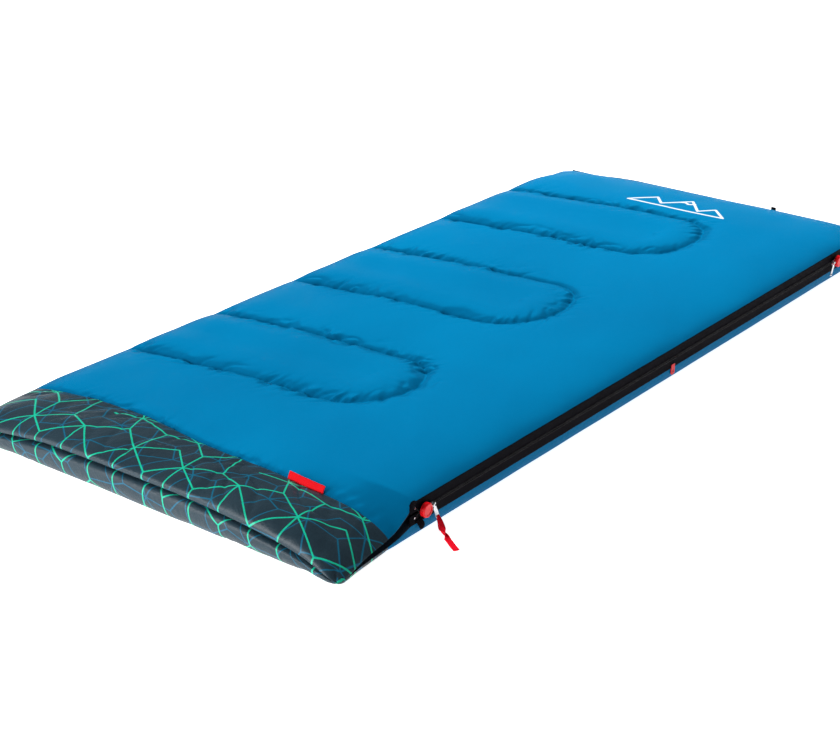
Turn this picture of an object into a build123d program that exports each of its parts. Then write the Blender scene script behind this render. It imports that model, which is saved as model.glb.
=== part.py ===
from build123d import *
import math
import os

# Rectangular sleeping bag, zipped closed and lying flat on the ground.
# Millimetres. +Z is up, +Y runs from the open head end to the foot, +X from the fold to the zip.
# The origin is the middle of the underside, on the ground.

# Overall size
LENGTH = 1905.0
WIDTH = 838.0
QUILT_THICKNESS = 35.0
SLEEPING_GAP = 10.0
FABRIC = 1.0

# Edges of the two quilts
CORNER_RADIUS = 30.0
OUTER_EDGE_RADIUS = 14.0
TOP_SEAM_EDGE_RADIUS = 18.0
BOTTOM_SEAM_EDGE_RADIUS = 6.0
FOLD_CLEARANCE = 3.0

# Printed cuff round the head end, on both quilts
CUFF_DEPTH = 130.0
CUFF_TURN_IN = 40.0

# Quilting: U-shaped seams that open towards the fold, as (centre along Y, distance between arms)
CHANNELS = ((-436.0, 233.0), (46.0, 257.0), (565.0, 270.0))
CHANNEL_TIP_X = 140.0
CHANNEL_ROUND = 85.0
GROOVE_WIDTH = 12.0
GROOVE_DEPTH = 9.0
THREAD = 0.8

# Zip: two tapes and two nylon coils, down the side and round the foot
ZIP_INSET = 5.0
ZIP_RISE = 7.0
TAPE_THICKNESS = 0.8
TAPE_REACH = 20.0
TAPE_FLAP = 1.6
TAPE_TAIL = 22.0
COIL_THICKNESS = 2.6
COIL_HEIGHT = 2.4
COIL_GAP = 1.2
COIL_FLARE = 7.0
ZIP_HEAD_SETBACK = 204.5
ZIP_FOLD_SETBACK = 20.0
STOP_LENGTH = 3.0
STOP_HEIGHT = 3.6

# Sliders
SLIDER_LENGTH = 20.0
SLIDER_SETBACK = 12.0
SLIDER_PLATE = 1.6
INNER_PLATE_HEIGHT = 9.0
OUTER_PLATE_HEIGHT = 11.0
SLIDER_CLEARANCE = 0.7
WEDGE_LENGTH = 9.0
WEDGE_CLEARANCE = 0.3
GUARD_DIAMETER = 25.0
GUARD_THICKNESS = 8.0
GUARD_DISH = 0.8
LUG_OFFSET = 19.0
LUG_RISE = 2.0
PIN_RADIUS = 0.9
PIN_LENGTH = 8.0
EAR = 1.2

# Pull tabs and the ribbon on the head one
PULL_ANGLE = 24.0
PULL_LENGTH = 30.0
PULL_WIDTH = 7.5
PULL_THICKNESS = 1.6
EYE_RADIUS = 2.3
EYE_WIDTH = 4.0
EYE_CLEARANCE = 0.5
NECK_LENGTH = 6.0
NECK_WIDTH = 3.2
RIBBON_SLOT = (5.6, 2.6)
RIBBON_BAR = 2.2
RIBBON_WIDTH = 10.0
RIBBON_THICKNESS = 1.6
RIBBON_REACH = 82.0
RIBBON_HEADING = -32.0
RIBBON_RING_WIDTH = 4.8
RIBBON_CLEARANCE = 0.35
RIBBON_GATHER = 2.0

# Small sewn-on pieces
LABEL_SIZE = (82.0, 20.0, 0.8)
LABEL_X = 248.0
LABEL_PAST_CUFF = 7.0
SIDE_LOOP_Y = 47.0
SIDE_LOOP_SIZE = (1.8, 12.6, 21.0)
SIDE_LOOP_HOLE_RADIUS = 2.25
FOOT_TAB_X = 154.0
FOOT_TAB_SIZE = (12.0, 2.0, 24.0)
FOLD_STRIP_HEIGHT = 27.0
FOLD_STRIP_RISE = 4.0

# Levels and lines that follow from the sizes above
SPLIT_Z = QUILT_THICKNESS + SLEEPING_GAP / 2
TOP_LOW_Z = QUILT_THICKNESS + SLEEPING_GAP
TOP_HIGH_Z = TOP_LOW_Z + QUILT_THICKNESS
ZIP_Z = SPLIT_Z + ZIP_RISE
QUILT_INSET = ZIP_INSET + TAPE_THICKNESS
HEAD_Y = -LENGTH / 2
FOOT_Y = LENGTH / 2
TAPE_X = WIDTH / 2 - ZIP_INSET
COIL_X = TAPE_X + COIL_THICKNESS
CUFF_SEAM_Y = HEAD_Y + CUFF_DEPTH
COIL_HEAD_Y = HEAD_Y + ZIP_HEAD_SETBACK
ZIP_FOLD_X = -WIDTH / 2 + ZIP_FOLD_SETBACK
HEAD_SLIDER_Y = COIL_HEAD_Y + SLIDER_SETBACK
FOOT_SLIDER_Y = -HEAD_SLIDER_Y
PLATE_X = COIL_X + SLIDER_CLEARANCE
GUARD_X = PLATE_X + SLIDER_PLATE
BOTTOM_SEAM_Z = QUILT_THICKNESS - BOTTOM_SEAM_EDGE_RADIUS
TOP_SEAM_Z = TOP_LOW_Z + TOP_SEAM_EDGE_RADIUS


def span_box(low, high):
    """A box from its lowest corner to its highest."""
    size = [b - a for a, b in zip(low, high)]
    middle = [(a + b) / 2 for a, b in zip(low, high)]
    return Pos(*middle) * Box(*size)


def span_rectangle(x_low, y_low, x_high, y_high):
    """A flat rectangle between two corners."""
    return Pos((x_low + x_high) / 2, (y_low + y_high) / 2) * Rectangle(x_high - x_low, y_high - y_low)


# ---------------------------------------------------------------- quilts


def quilt_block(z_low, low_radius, high_radius, inset):
    """One quilt as a solid block with rounded edges, shrunk by inset on every side."""
    plan = span_rectangle(
        -WIDTH / 2 + FOLD_CLEARANCE + inset,
        HEAD_Y + inset,
        WIDTH / 2 - QUILT_INSET - inset,
        FOOT_Y - QUILT_INSET - inset,
    )
    plan = fillet(plan.vertices(), CORNER_RADIUS - QUILT_INSET - inset)
    block = Pos(0, 0, z_low + inset) * extrude(plan, QUILT_THICKNESS - 2 * inset)
    block = fillet(block.faces().sort_by(Axis.Z)[-1].edges(), high_radius - inset)
    return fillet(block.faces().sort_by(Axis.Z)[0].edges(), low_radius - inset)


def channel_outline(centre_y, arms, grow):
    """The area inside one U-shaped seam, with its round end towards the zip."""
    arms_end_x = CHANNEL_TIP_X - CHANNEL_ROUND
    half = arms / 2 + grow
    straight = span_rectangle(-WIDTH, centre_y - half, arms_end_x, centre_y + half)
    return straight + Pos(arms_end_x, centre_y) * Ellipse(CHANNEL_ROUND + grow, half)


def quilting(width, z_low, z_high):
    """The U-shaped seams of one quilt as bands of the given width between two heights."""
    bands = [
        channel_outline(centre, arms, width / 2) - channel_outline(centre, arms, -width / 2)
        for centre, arms in CHANNELS
    ]
    return [Pos(0, 0, z_low) * extrude(band, z_high - z_low) for band in bands]


def quilt_pieces(z_low, low_radius, high_radius, groove_floor, groove_mouth, seam_z, shell_is_above):
    """Shell, insulation, lining, cuff and quilting thread of one quilt."""
    inwards = 1 if groove_floor > groove_mouth else -1
    grooves = quilting(GROOVE_WIDTH, *sorted((groove_floor, groove_mouth)))
    wider = quilting(
        GROOVE_WIDTH + 2 * FABRIC, *sorted((groove_floor + inwards * FABRIC, groove_mouth))
    )
    outer = quilt_block(z_low, low_radius, high_radius, 0) - grooves
    insulation = quilt_block(z_low, low_radius, high_radius, FABRIC) - wider
    skin = outer - insulation

    shell_z = (seam_z, TOP_HIGH_Z + 1) if shell_is_above else (-1, seam_z)
    lining_z = (-1, seam_z) if shell_is_above else (seam_z, TOP_HIGH_Z + 1)
    reach = WIDTH
    shell_cut = span_box((-reach, CUFF_SEAM_Y, shell_z[0]), (reach, LENGTH, shell_z[1]))
    lining_cut = span_box((-reach, HEAD_Y + CUFF_TURN_IN, lining_z[0]), (reach, LENGTH, lining_z[1]))
    cuff_cut = span_box((-reach, -LENGTH, shell_z[0]), (reach, CUFF_SEAM_Y, shell_z[1])) + span_box(
        (-reach, -LENGTH, lining_z[0]), (reach, HEAD_Y + CUFF_TURN_IN, lining_z[1])
    )
    thread_block = span_box((-WIDTH / 2 + 2 * FOLD_CLEARANCE, HEAD_Y, -1), (reach, FOOT_Y, TOP_HIGH_Z))
    threads = quilting(THREAD, *sorted((groove_floor, groove_floor - inwards * THREAD)))
    return {
        "shell": skin & shell_cut,
        "insulation": insulation,
        "lining": skin & lining_cut,
        "cuff": skin & cuff_cut,
        "quilting_thread": Compound(children=[thread & thread_block for thread in threads]),
    }


def fold_strip():
    """The strip of shell fabric round the fold that joins the two quilts and bends when they open."""
    fold_x = -WIDTH / 2 + FOLD_CLEARANCE
    high = SPLIT_Z + FOLD_STRIP_RISE
    return span_box(
        (fold_x - FABRIC, HEAD_Y + CORNER_RADIUS, high - FOLD_STRIP_HEIGHT),
        (fold_x, FOOT_Y - CORNER_RADIUS, high),
    )


# ---------------------------------------------------------------- zip


def zip_plan(inset):
    """The bag's outline at a distance inside the zip side and the foot, rounded where they meet."""
    plan = span_rectangle(-WIDTH / 2, HEAD_Y, WIDTH / 2 - inset, FOOT_Y - inset)
    corner = plan.vertices().sort_by(lambda v: v.X + v.Y)[-1]
    return fillet(corner, CORNER_RADIUS - inset)


def zip_run(outer_inset, thickness, z_low, z_high, start_y):
    """A strip on edge along the zip side and round the foot to just short of the fold."""
    band = zip_plan(outer_inset) - zip_plan(outer_inset + thickness)
    side = span_rectangle(0, start_y, WIDTH, FOOT_Y)
    foot = span_rectangle(ZIP_FOLD_X, FOOT_Y - 2 * CORNER_RADIUS, WIDTH, FOOT_Y)
    return Pos(0, 0, z_low) * extrude(band & (side + foot), z_high - z_low)


def corner_side(towards):
    """Everything in plan on one side of the foot corner's diagonal: -1 the zip side, 1 the foot."""
    reach = LENGTH + WIDTH
    middle = Pos(WIDTH / 2 - CORNER_RADIUS, FOOT_Y - CORNER_RADIUS)
    return middle * Rot(0, 0, 45) * Pos(0, towards * reach / 2) * Rectangle(2 * reach, reach)


def zip_tape(up, towards):
    """Half of one tape: up is 1 for the upper tape, towards is -1 for the side run and 1 for the foot."""
    near = ZIP_Z + up * TAPE_FLAP
    far = ZIP_Z + up * TAPE_REACH
    tape = zip_run(ZIP_INSET, TAPE_THICKNESS, min(near, far), max(near, far), COIL_HEAD_Y - TAPE_TAIL)
    return tape & extrude(corner_side(towards), TOP_HIGH_Z)


def coil_heights(up):
    """The lowest and highest level of one coil."""
    near = ZIP_Z + up * COIL_GAP / 2
    return sorted((near, near + up * COIL_HEIGHT))


def zip_coil(up):
    """One coil as a plain strand, which turns away from the other at its head end."""
    low, high = coil_heights(up)
    strand = zip_run(ZIP_INSET - COIL_THICKNESS, COIL_THICKNESS, low, high, COIL_HEAD_Y)
    away = up * COIL_FLARE
    end_y = COIL_HEAD_Y - COIL_FLARE
    outline = Polyline(
        (COIL_HEAD_Y, low), (COIL_HEAD_Y, high), (end_y, high + away), (end_y, low + away), close=True
    )
    flare = Pos(TAPE_X, 0, 0) * extrude(Plane.YZ * make_face(outline), COIL_THICKNESS)
    return strand + flare


def zip_stops(up):
    """The metal stops at the two ends of one coil."""
    middle = sum(coil_heights(up)) / 2
    head_z = middle + up * COIL_FLARE
    head_y = COIL_HEAD_Y - COIL_FLARE
    head = span_box(
        (TAPE_X, head_y - STOP_LENGTH, head_z - STOP_HEIGHT / 2), (COIL_X, head_y, head_z + STOP_HEIGHT / 2)
    )
    foot_y = FOOT_Y - ZIP_INSET
    shifted = middle + up * (STOP_HEIGHT - COIL_HEIGHT) / 2
    foot = span_box(
        (ZIP_FOLD_X - STOP_LENGTH, foot_y, shifted - STOP_HEIGHT / 2),
        (ZIP_FOLD_X, foot_y + COIL_THICKNESS, shifted + STOP_HEIGHT / 2),
    )
    return head, foot


# ---------------------------------------------------------------- sliders and pulls


def slider_pin_point(slider_y, towards):
    """The middle of the pin that the pull hangs on; towards is the side of the slider it is on."""
    return Vector(GUARD_X + EYE_RADIUS + EYE_CLEARANCE, slider_y + towards * LUG_OFFSET, ZIP_Z + LUG_RISE)


def pull_plane(slider_y, towards):
    """The pull's own plane: X along its pin, Y up along the pull, Z away from the bag."""
    tilt = math.radians(PULL_ANGLE)
    pin = (0, math.cos(tilt), towards * math.sin(tilt))
    return Plane(origin=slider_pin_point(slider_y, towards), x_dir=pin, z_dir=(1, 0, 0))


def slider_body(slider_y, towards):
    """Two plates either side of the coils, the wedge between them and the lug for the pull."""
    half = SLIDER_LENGTH / 2
    inner_x = TAPE_X - TAPE_THICKNESS - SLIDER_CLEARANCE
    inner = Pos(inner_x - SLIDER_PLATE / 2, slider_y, ZIP_Z) * Box(
        SLIDER_PLATE, SLIDER_LENGTH, INNER_PLATE_HEIGHT
    )
    arm_end = LUG_OFFSET + PIN_LENGTH / 2
    outer = Pos(PLATE_X + SLIDER_PLATE / 2, slider_y + towards * (arm_end - half) / 2, ZIP_Z) * Box(
        SLIDER_PLATE, half + arm_end, OUTER_PLATE_HEIGHT
    )
    plates = fillet(inner.edges().filter_by(Axis.X), OUTER_PLATE_HEIGHT / 4) + fillet(
        outer.edges().filter_by(Axis.X), OUTER_PLATE_HEIGHT / 4
    )
    wedge_height = COIL_GAP - 2 * WEDGE_CLEARANCE
    wedge_y = slider_y - towards * (half - WEDGE_LENGTH / 2)
    wedge = Pos((inner_x + PLATE_X) / 2, wedge_y, ZIP_Z) * Box(
        PLATE_X - inner_x, WEDGE_LENGTH, wedge_height
    )
    plane = pull_plane(slider_y, towards)
    pin = plane * Rot(0, 90, 0) * Cylinder(PIN_RADIUS, PIN_LENGTH)
    ear_depth = EYE_RADIUS + EYE_CLEARANCE + 2 * PIN_RADIUS
    ear_middle = 2 * PIN_RADIUS - ear_depth / 2
    ears = [
        plane * Pos(side * (PIN_LENGTH - EAR) / 2, 0, ear_middle) * Box(EAR, 4 * PIN_RADIUS, ear_depth)
        for side in (-1, 1)
    ]
    return plates + wedge + pin + ears[0] + ears[1]


def slider_guard(slider_y):
    """The thick round cap over the slider's outer plate, dished on its face."""
    guard = Rot(0, 90, 0) * Cylinder(GUARD_DIAMETER / 2, GUARD_THICKNESS)
    face_edge = guard.edges().filter_by(GeomType.CIRCLE).sort_by(Axis.X)[-1]
    guard = fillet(face_edge, GUARD_THICKNESS / 3)
    dish = Pos(GUARD_THICKNESS / 2, 0, 0) * Rot(0, 90, 0) * Cylinder(GUARD_DIAMETER / 3, 2 * GUARD_DISH)
    return Pos(GUARD_X + GUARD_THICKNESS / 2, slider_y, ZIP_Z) * (guard - dish)


def slot_middle():
    """How far below the pin the middle of the ribbon's slot is."""
    return PULL_LENGTH - RIBBON_BAR - RIBBON_SLOT[1] / 2


def pull(slider_y, towards):
    """The metal pull: an eye round the pin, a neck and a flat tab with a slot for a ribbon."""
    tab_length = PULL_LENGTH - NECK_LENGTH
    tab = Pos(0, -NECK_LENGTH - tab_length / 2) * RectangleRounded(PULL_WIDTH, tab_length, PULL_WIDTH / 4)
    neck = Pos(0, -(NECK_LENGTH + 1) / 2) * Rectangle(NECK_WIDTH, NECK_LENGTH + 1)
    slot = Pos(0, -slot_middle()) * Rectangle(*RIBBON_SLOT)
    flat = Pos(0, 0, -PULL_THICKNESS / 2) * extrude(tab + neck - slot, PULL_THICKNESS)
    eye = Rot(0, 90, 0) * Cylinder(EYE_RADIUS, EYE_WIDTH)
    bore = Rot(0, 90, 0) * Cylinder(PIN_RADIUS + EYE_CLEARANCE, 2 * EYE_WIDTH)
    return pull_plane(slider_y, towards) * (flat + eye - bore)


def ribbon(slider_y, towards):
    """The doubled ribbon: a ring through the pull's slot and a tail that runs out over the ground."""
    plane = pull_plane(slider_y, towards)
    bar_diagonal = math.hypot(RIBBON_BAR, PULL_THICKNESS) / 2
    inner_radius = bar_diagonal + RIBBON_CLEARANCE
    outer_radius = inner_radius + RIBBON_THICKNESS / 2
    bar_middle = Pos(0, RIBBON_BAR / 2 - PULL_LENGTH, 0)
    ring = Rot(0, 90, 0) * (
        Cylinder(outer_radius, RIBBON_RING_WIDTH) - Cylinder(inner_radius, RIBBON_RING_WIDTH)
    )
    ring = plane * bar_middle * ring
    gather = plane * bar_middle * Pos(0, -outer_radius - RIBBON_GATHER / 2, 0) * Box(
        RIBBON_RING_WIDTH, RIBBON_GATHER + RIBBON_THICKNESS, RIBBON_THICKNESS
    )
    start = (plane * bar_middle * Pos(0, -outer_radius - RIBBON_GATHER, 0)).position

    heading = math.radians(RIBBON_HEADING)
    along = Plane(
        origin=(start.X, start.Y, 0),
        x_dir=(math.cos(heading), math.sin(heading), 0),
        z_dir=(math.sin(heading), -math.cos(heading), 0),
    )
    lie = RIBBON_THICKNESS / 2
    path = FilletPolyline(
        (0, start.Z), (0.06 * RIBBON_REACH, start.Z / 2), (0.3 * RIBBON_REACH, lie), (RIBBON_REACH, lie),
        radius=2 * RIBBON_WIDTH,
    )
    tail = extrude(along * trace(path, RIBBON_THICKNESS), RIBBON_WIDTH / 2, both=True)
    return ring + gather + tail


# ---------------------------------------------------------------- small sewn-on pieces


def woven_label():
    """A blank woven label sewn flat across the cuff seam of the top quilt."""
    width, depth, thickness = LABEL_SIZE
    return Pos(LABEL_X, CUFF_SEAM_Y + LABEL_PAST_CUFF, TOP_HIGH_Z + thickness / 2) * Box(
        width, depth, thickness
    )


def side_loop():
    """A moulded tab with a round eyelet, sewn under the lower tape on the zip side."""
    thickness, width, height = SIDE_LOOP_SIZE
    overlap = OUTER_EDGE_RADIUS / 2
    high = ZIP_Z - TAPE_REACH + overlap
    tab = Pos(TAPE_X + thickness / 2, SIDE_LOOP_Y, high - height / 2) * Box(thickness, width, height)
    lower_corners = tab.edges().filter_by(Axis.X).sort_by(Axis.Z)[:2]
    tab = fillet(lower_corners, width / 3)
    hole = Pos(TAPE_X, SIDE_LOOP_Y, high - height + width / 2) * Rot(0, 90, 0) * Cylinder(
        SIDE_LOOP_HOLE_RADIUS, 4 * thickness
    )
    return tab - hole


def foot_tab():
    """A folded stub of webbing on the lower tape at the foot, standing up clear of the coils."""
    width, thickness, height = FOOT_TAB_SIZE
    tape_y = FOOT_Y - ZIP_INSET
    stand_y = tape_y + COIL_THICKNESS + WEDGE_CLEARANCE
    low = ZIP_Z - TAPE_REACH + OUTER_EDGE_RADIUS / 2
    upright = span_box(
        (FOOT_TAB_X - width / 2, stand_y, low), (FOOT_TAB_X + width / 2, stand_y + thickness, low + height)
    )
    root = span_box((FOOT_TAB_X - width / 2, tape_y, low), (FOOT_TAB_X + width / 2, stand_y, low + 5))
    return upright + root


# ---------------------------------------------------------------- the whole bag


def build_nodes():
    """Every piece of the bag by its node name."""
    nodes = {}
    bottom = quilt_pieces(
        0, OUTER_EDGE_RADIUS, BOTTOM_SEAM_EDGE_RADIUS, GROOVE_DEPTH, 0, BOTTOM_SEAM_Z, False
    )
    top = quilt_pieces(
        TOP_LOW_Z,
        TOP_SEAM_EDGE_RADIUS,
        OUTER_EDGE_RADIUS,
        TOP_HIGH_Z - GROOVE_DEPTH,
        TOP_HIGH_Z,
        TOP_SEAM_Z,
        True,
    )
    for side, pieces in (("bottom", bottom), ("top", top)):
        for piece, shape in pieces.items():
            nodes[f"{side}_{piece}"] = shape
    for level, up in (("lower", -1), ("upper", 1)):
        nodes[f"zip_tape_{level}_side"] = zip_tape(up, -1)
        nodes[f"zip_tape_{level}_foot"] = zip_tape(up, 1)
        nodes[f"zip_coil_{level}"] = zip_coil(up)
        nodes[f"zip_stops_{level}"] = Compound(children=list(zip_stops(up)))
    for end, slider_y, towards in (("head", HEAD_SLIDER_Y, 1), ("foot", FOOT_SLIDER_Y, -1)):
        nodes[f"{end}_slider"] = slider_body(slider_y, towards)
        nodes[f"{end}_slider_guard"] = slider_guard(slider_y)
        nodes[f"{end}_pull"] = pull(slider_y, towards)
    nodes["head_pull_ribbon"] = ribbon(HEAD_SLIDER_Y, 1)
    nodes["fold_strip"] = fold_strip()
    nodes["woven_label"] = woven_label()
    nodes["side_loop"] = side_loop()
    nodes["foot_tab"] = foot_tab()
    return nodes


os.makedirs("parts", exist_ok=True)
for name, shape in build_nodes().items():
    export_step(shape, f"parts/{name}.step")

pin_point = slider_pin_point(HEAD_SLIDER_Y, 1)
bar_point = (pull_plane(HEAD_SLIDER_Y, 1) * Pos(0, RIBBON_BAR / 2 - PULL_LENGTH, 0)).position
print("fold axis", (-WIDTH / 2, 0, SPLIT_Z))
print("head pull pin", tuple(pin_point), "foot pull pin", tuple(slider_pin_point(FOOT_SLIDER_Y, -1)))
print("ribbon bar", tuple(bar_point), "pin direction", tuple(pull_plane(HEAD_SLIDER_Y, 1).x_dir))
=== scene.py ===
# %% [markdown]
# # A rectangular sleeping bag
# The bag is two long quilts, one on the other. They are joined along one side by a fold of cloth,
# and along the other side and the foot by a zip. This lesson builds the looks of each piece around
# a fixed frame of plain solids, one small cell at a time. All sizes are in metres: X runs across the
# bag, Y from the head to the foot, and Z up from the floor.

# %% The frame
import math

import bpy
import numpy as np
from mathutils import Matrix, Vector


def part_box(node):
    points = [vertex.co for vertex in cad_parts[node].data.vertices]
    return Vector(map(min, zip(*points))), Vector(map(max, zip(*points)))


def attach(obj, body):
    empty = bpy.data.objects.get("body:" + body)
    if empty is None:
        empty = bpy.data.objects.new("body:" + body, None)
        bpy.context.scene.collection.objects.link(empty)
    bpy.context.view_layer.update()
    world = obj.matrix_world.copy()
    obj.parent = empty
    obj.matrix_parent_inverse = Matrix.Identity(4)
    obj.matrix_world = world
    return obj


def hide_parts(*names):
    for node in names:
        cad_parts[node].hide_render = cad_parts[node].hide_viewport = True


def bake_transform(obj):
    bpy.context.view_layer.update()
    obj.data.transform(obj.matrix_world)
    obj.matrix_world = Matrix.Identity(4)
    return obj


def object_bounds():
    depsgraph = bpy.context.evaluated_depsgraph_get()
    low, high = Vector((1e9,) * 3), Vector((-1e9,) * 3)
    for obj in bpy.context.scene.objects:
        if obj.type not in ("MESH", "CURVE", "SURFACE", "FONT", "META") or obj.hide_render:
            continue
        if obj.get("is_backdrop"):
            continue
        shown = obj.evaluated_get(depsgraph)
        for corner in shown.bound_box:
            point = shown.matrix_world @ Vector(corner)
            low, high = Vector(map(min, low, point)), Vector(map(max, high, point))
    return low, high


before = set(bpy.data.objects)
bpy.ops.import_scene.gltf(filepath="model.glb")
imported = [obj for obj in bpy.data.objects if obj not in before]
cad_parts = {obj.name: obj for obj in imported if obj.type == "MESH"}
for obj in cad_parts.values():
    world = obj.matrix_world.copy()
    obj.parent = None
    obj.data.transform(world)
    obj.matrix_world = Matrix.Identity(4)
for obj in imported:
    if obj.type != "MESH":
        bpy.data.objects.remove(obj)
CAD_BOX = [list(corner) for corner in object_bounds()]
print("the frame measures", [round(high - low, 3) for low, high in zip(*CAD_BOX)])

# %% [markdown]
# ## The camera
# A camera in Blender looks along its own -Z. Three directions say how it stands: one to its right,
# one up, and one straight back. They come from an azimuth round the bag, an elevation above the
# floor and a small roll, which is easier to adjust than three Euler angles.

# %% Camera
AZIMUTH, ELEVATION, ROLL = math.radians(37.22), math.radians(23.29), math.radians(0.413)
back = Vector((math.sin(AZIMUTH) * math.cos(ELEVATION),
               -math.cos(AZIMUTH) * math.cos(ELEVATION), math.sin(ELEVATION)))
level = Vector((math.cos(AZIMUTH), math.sin(AZIMUTH), 0))
upright = back.cross(level)
right = math.cos(ROLL) * level + math.sin(ROLL) * upright
up = -math.sin(ROLL) * level + math.cos(ROLL) * upright
STAND = (1.9996, -2.8322, 1.4173)
lens = bpy.data.cameras.new("camera")
lens.lens = 79.875
lens.sensor_width = 36
lens.clip_end = 60
camera = bpy.data.objects.new("camera", lens)
camera.matrix_world = Matrix.Translation(STAND) @ Matrix((right, up, back)).transposed().to_4x4()
bpy.context.scene.collection.objects.link(camera)
bpy.context.scene.camera = camera
print("camera stands at", [round(v, 2) for v in camera.location])

# %% [markdown]
# ## Studio light
# A satin cloth shows its folds only if one side of each fold gets more light than the other. A wide
# soft lamp stands high above the foot, so that both long sides of the bag fall into gentle shade. A
# weaker one in front of the head end lights the cuffs, and a dim white world fills the rest. The
# high lamp gives no mirror highlight, because on dry cloth seen at a low angle that would be a grey
# veil. The colours are shown as they are, without a film curve.

# %% Light
WORLD_LIGHT = 0.14
scene = bpy.context.scene
scene.view_settings.view_transform = "Standard"
scene.world = bpy.data.worlds.new("studio")
scene.world.use_nodes = True
scene.world.node_tree.nodes["Background"].inputs["Color"].default_value = (1, 1, 1, 1)
scene.world.node_tree.nodes["Background"].inputs["Strength"].default_value = WORLD_LIGHT


def soft_lamp(name, place, target, size, watts):
    """A square lamp that faces target."""
    lamp = bpy.data.lights.new(name, "AREA")
    lamp.size = size
    lamp.energy = watts
    holder = bpy.data.objects.new(name, lamp)
    holder.location = place
    holder.rotation_euler = (Vector(target) - Vector(place)).to_track_quat("-Z", "Y").to_euler()
    scene.collection.objects.link(holder)
    return holder


key_lamp = soft_lamp("key_lamp", (-2.2, 4.3, 4.0), (0, 0, 0), 1.7, 610)
soft_lamp("fill_lamp", (-1.6, -5.2, 1.7), (0, -0.6, 0), 2.6, 300)
key_lamp.visible_glossy = False

# %% [markdown]
# ## Main sizes
# Every position starts from the frame. The plan of both quilts is one rectangle with rounded
# corners. Each quilt is closed by a seam round its edge, at a height of its own: the outer shell
# rises from that seam, and the lining lies on the other side of it.

# %% Sizes from the frame
shell_low, shell_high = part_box("top_shell")
cuff_low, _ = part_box("top_cuff")
LEFT, RIGHT = shell_low.x, shell_high.x
HEAD, FOOT = cuff_low.y, shell_high.y
TOP = shell_high.z
CUFF_SEAM = shell_low.y
BOTTOM_SEAM, TOP_SEAM = 0.029, 0.063
CORNER = 0.0242
LINING_CUFF = 0.040
SEAM_CENTRES = (-0.436, 0.046, 0.565)
SEAM_SPREADS = (0.233 / 2, 0.257 / 2, 0.270 / 2)
SEAM_STRAIGHT, SEAM_TIP = 0.055, 0.095
SEAM_SKEW, SEAM_TURN = 0.045, -0.15
print(f"plan: x {LEFT:.3f} to {RIGHT:.3f}, y {HEAD:.3f} to {FOOT:.3f}, top {TOP:.3f}")

# %% [markdown]
# ## Helpers for shaping cloth
# Cloth that is stuffed and sewn is smooth nearly everywhere, and it changes fast only at its edges
# and seams. So its mesh is a grid whose rows stand close together there and further apart
# elsewhere. That keeps the detail without millions of faces, which an even subdivision would need.

# %% Rows, noise and easing
def stations(low, high, step_at, keep=()):
    """Positions from low to high, about step_at(x) apart, closer at both ends, through all of keep."""
    fine = np.linspace(low, high, 20001)
    gap = np.minimum(step_at(fine), 0.0004 + 0.2 * np.minimum(fine - low, high - fine))
    count = np.concatenate([[0], np.cumsum((1 / gap[1:] + 1 / gap[:-1]) / 2 * np.diff(fine))])
    stops = [low, *keep, high]
    runs = []
    for start, stop in zip(stops[:-1], stops[1:]):
        first, last = np.interp([start, stop], fine, count)
        steps = max(2, int(round(last - first)))
        runs.append(np.interp(np.linspace(first, last, steps + 1), count, fine)[:-1])
    return np.concatenate([*runs, [high]])


TABLE = 251


def rumple(p, q, seed):
    """Smooth noise from -1 to 1 with one bump to each unit of p and of q."""
    table = np.random.default_rng(seed).uniform(-1, 1, (TABLE, TABLE))
    i, j = np.floor(p).astype(int), np.floor(q).astype(int)
    f, g = p - i, q - j
    f, g = f * f * (3 - 2 * f), g * g * (3 - 2 * g)
    low = (1 - f) * table[i % TABLE, j % TABLE] + f * table[(i + 1) % TABLE, j % TABLE]
    high = (1 - f) * table[i % TABLE, (j + 1) % TABLE] + f * table[(i + 1) % TABLE, (j + 1) % TABLE]
    return (1 - g) * low + g * high


def ease(value, start, stop):
    """0 at start, 1 at stop, and smooth between."""
    t = np.clip((value - start) / (stop - start), 0, 1)
    return t * t * (3 - 2 * t)


def rise(distance, width, power=0.5):
    """The height of a round edge, from 0 at the edge to 1 a width inside it. A power of 0.5 is round."""
    t = np.clip(1 - distance / width, 0, 1)
    return (1 - t * t) ** power


print("a round edge, a quarter of its width in, is", round(float(rise(0.25, 1.0)), 2), "high")

# %% [markdown]
# ## Quilting seams
# Three seams are sewn through each quilt in the shape of a U lying on its side. For every point of
# the cloth we need two numbers: how far it is from the seam, and how far along the seam it is. The
# straight arms are simple. The tip is half an ellipse, where a value that is 1 on the curve, divided
# by its slope, gives the distance closely enough.

# %% Distance to a U seam
def seam_place(x, y, centre, spread):
    """(distance from the seam, negative inside the U; distance along it, 0 at its tip)."""
    across = y - centre - SEAM_SKEW * (x - SEAM_TURN)
    beyond = np.maximum(x - SEAM_STRAIGHT, 0)
    ring = np.sqrt((beyond / SEAM_TIP) ** 2 + (across / spread) ** 2)
    slope = np.sqrt((beyond / SEAM_TIP ** 2) ** 2 + (across / spread ** 2) ** 2)
    away = (ring - 1) * ring / np.maximum(slope, 1e-6)
    away = np.where(x > SEAM_STRAIGHT, away, np.abs(across) - spread)
    angle = np.arctan2(beyond / SEAM_TIP, np.abs(across) / spread)
    half_tip = math.pi / 4 * (SEAM_TIP + spread)
    along = half_tip - angle / (math.pi / 2) * half_tip + np.maximum(SEAM_STRAIGHT - x, 0)
    return away, np.where(across < 0, -along, along)


print("seam tips reach x =", round(SEAM_STRAIGHT + SEAM_TIP, 3))

# %% [markdown]
# ## What a seam does to the cloth
# Thread pulls shell and lining together, so the stuffing swells beside each seam and the cloth falls
# to a sharp valley. The cloth is longer than the thread, so it gathers in short puckers that start
# at the stitches and fade out. A simulation could find them, but on a quilt two metres long it needs
# a very fine mesh. Noise that is stretched across the seam gives the same puckers at once.

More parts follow.
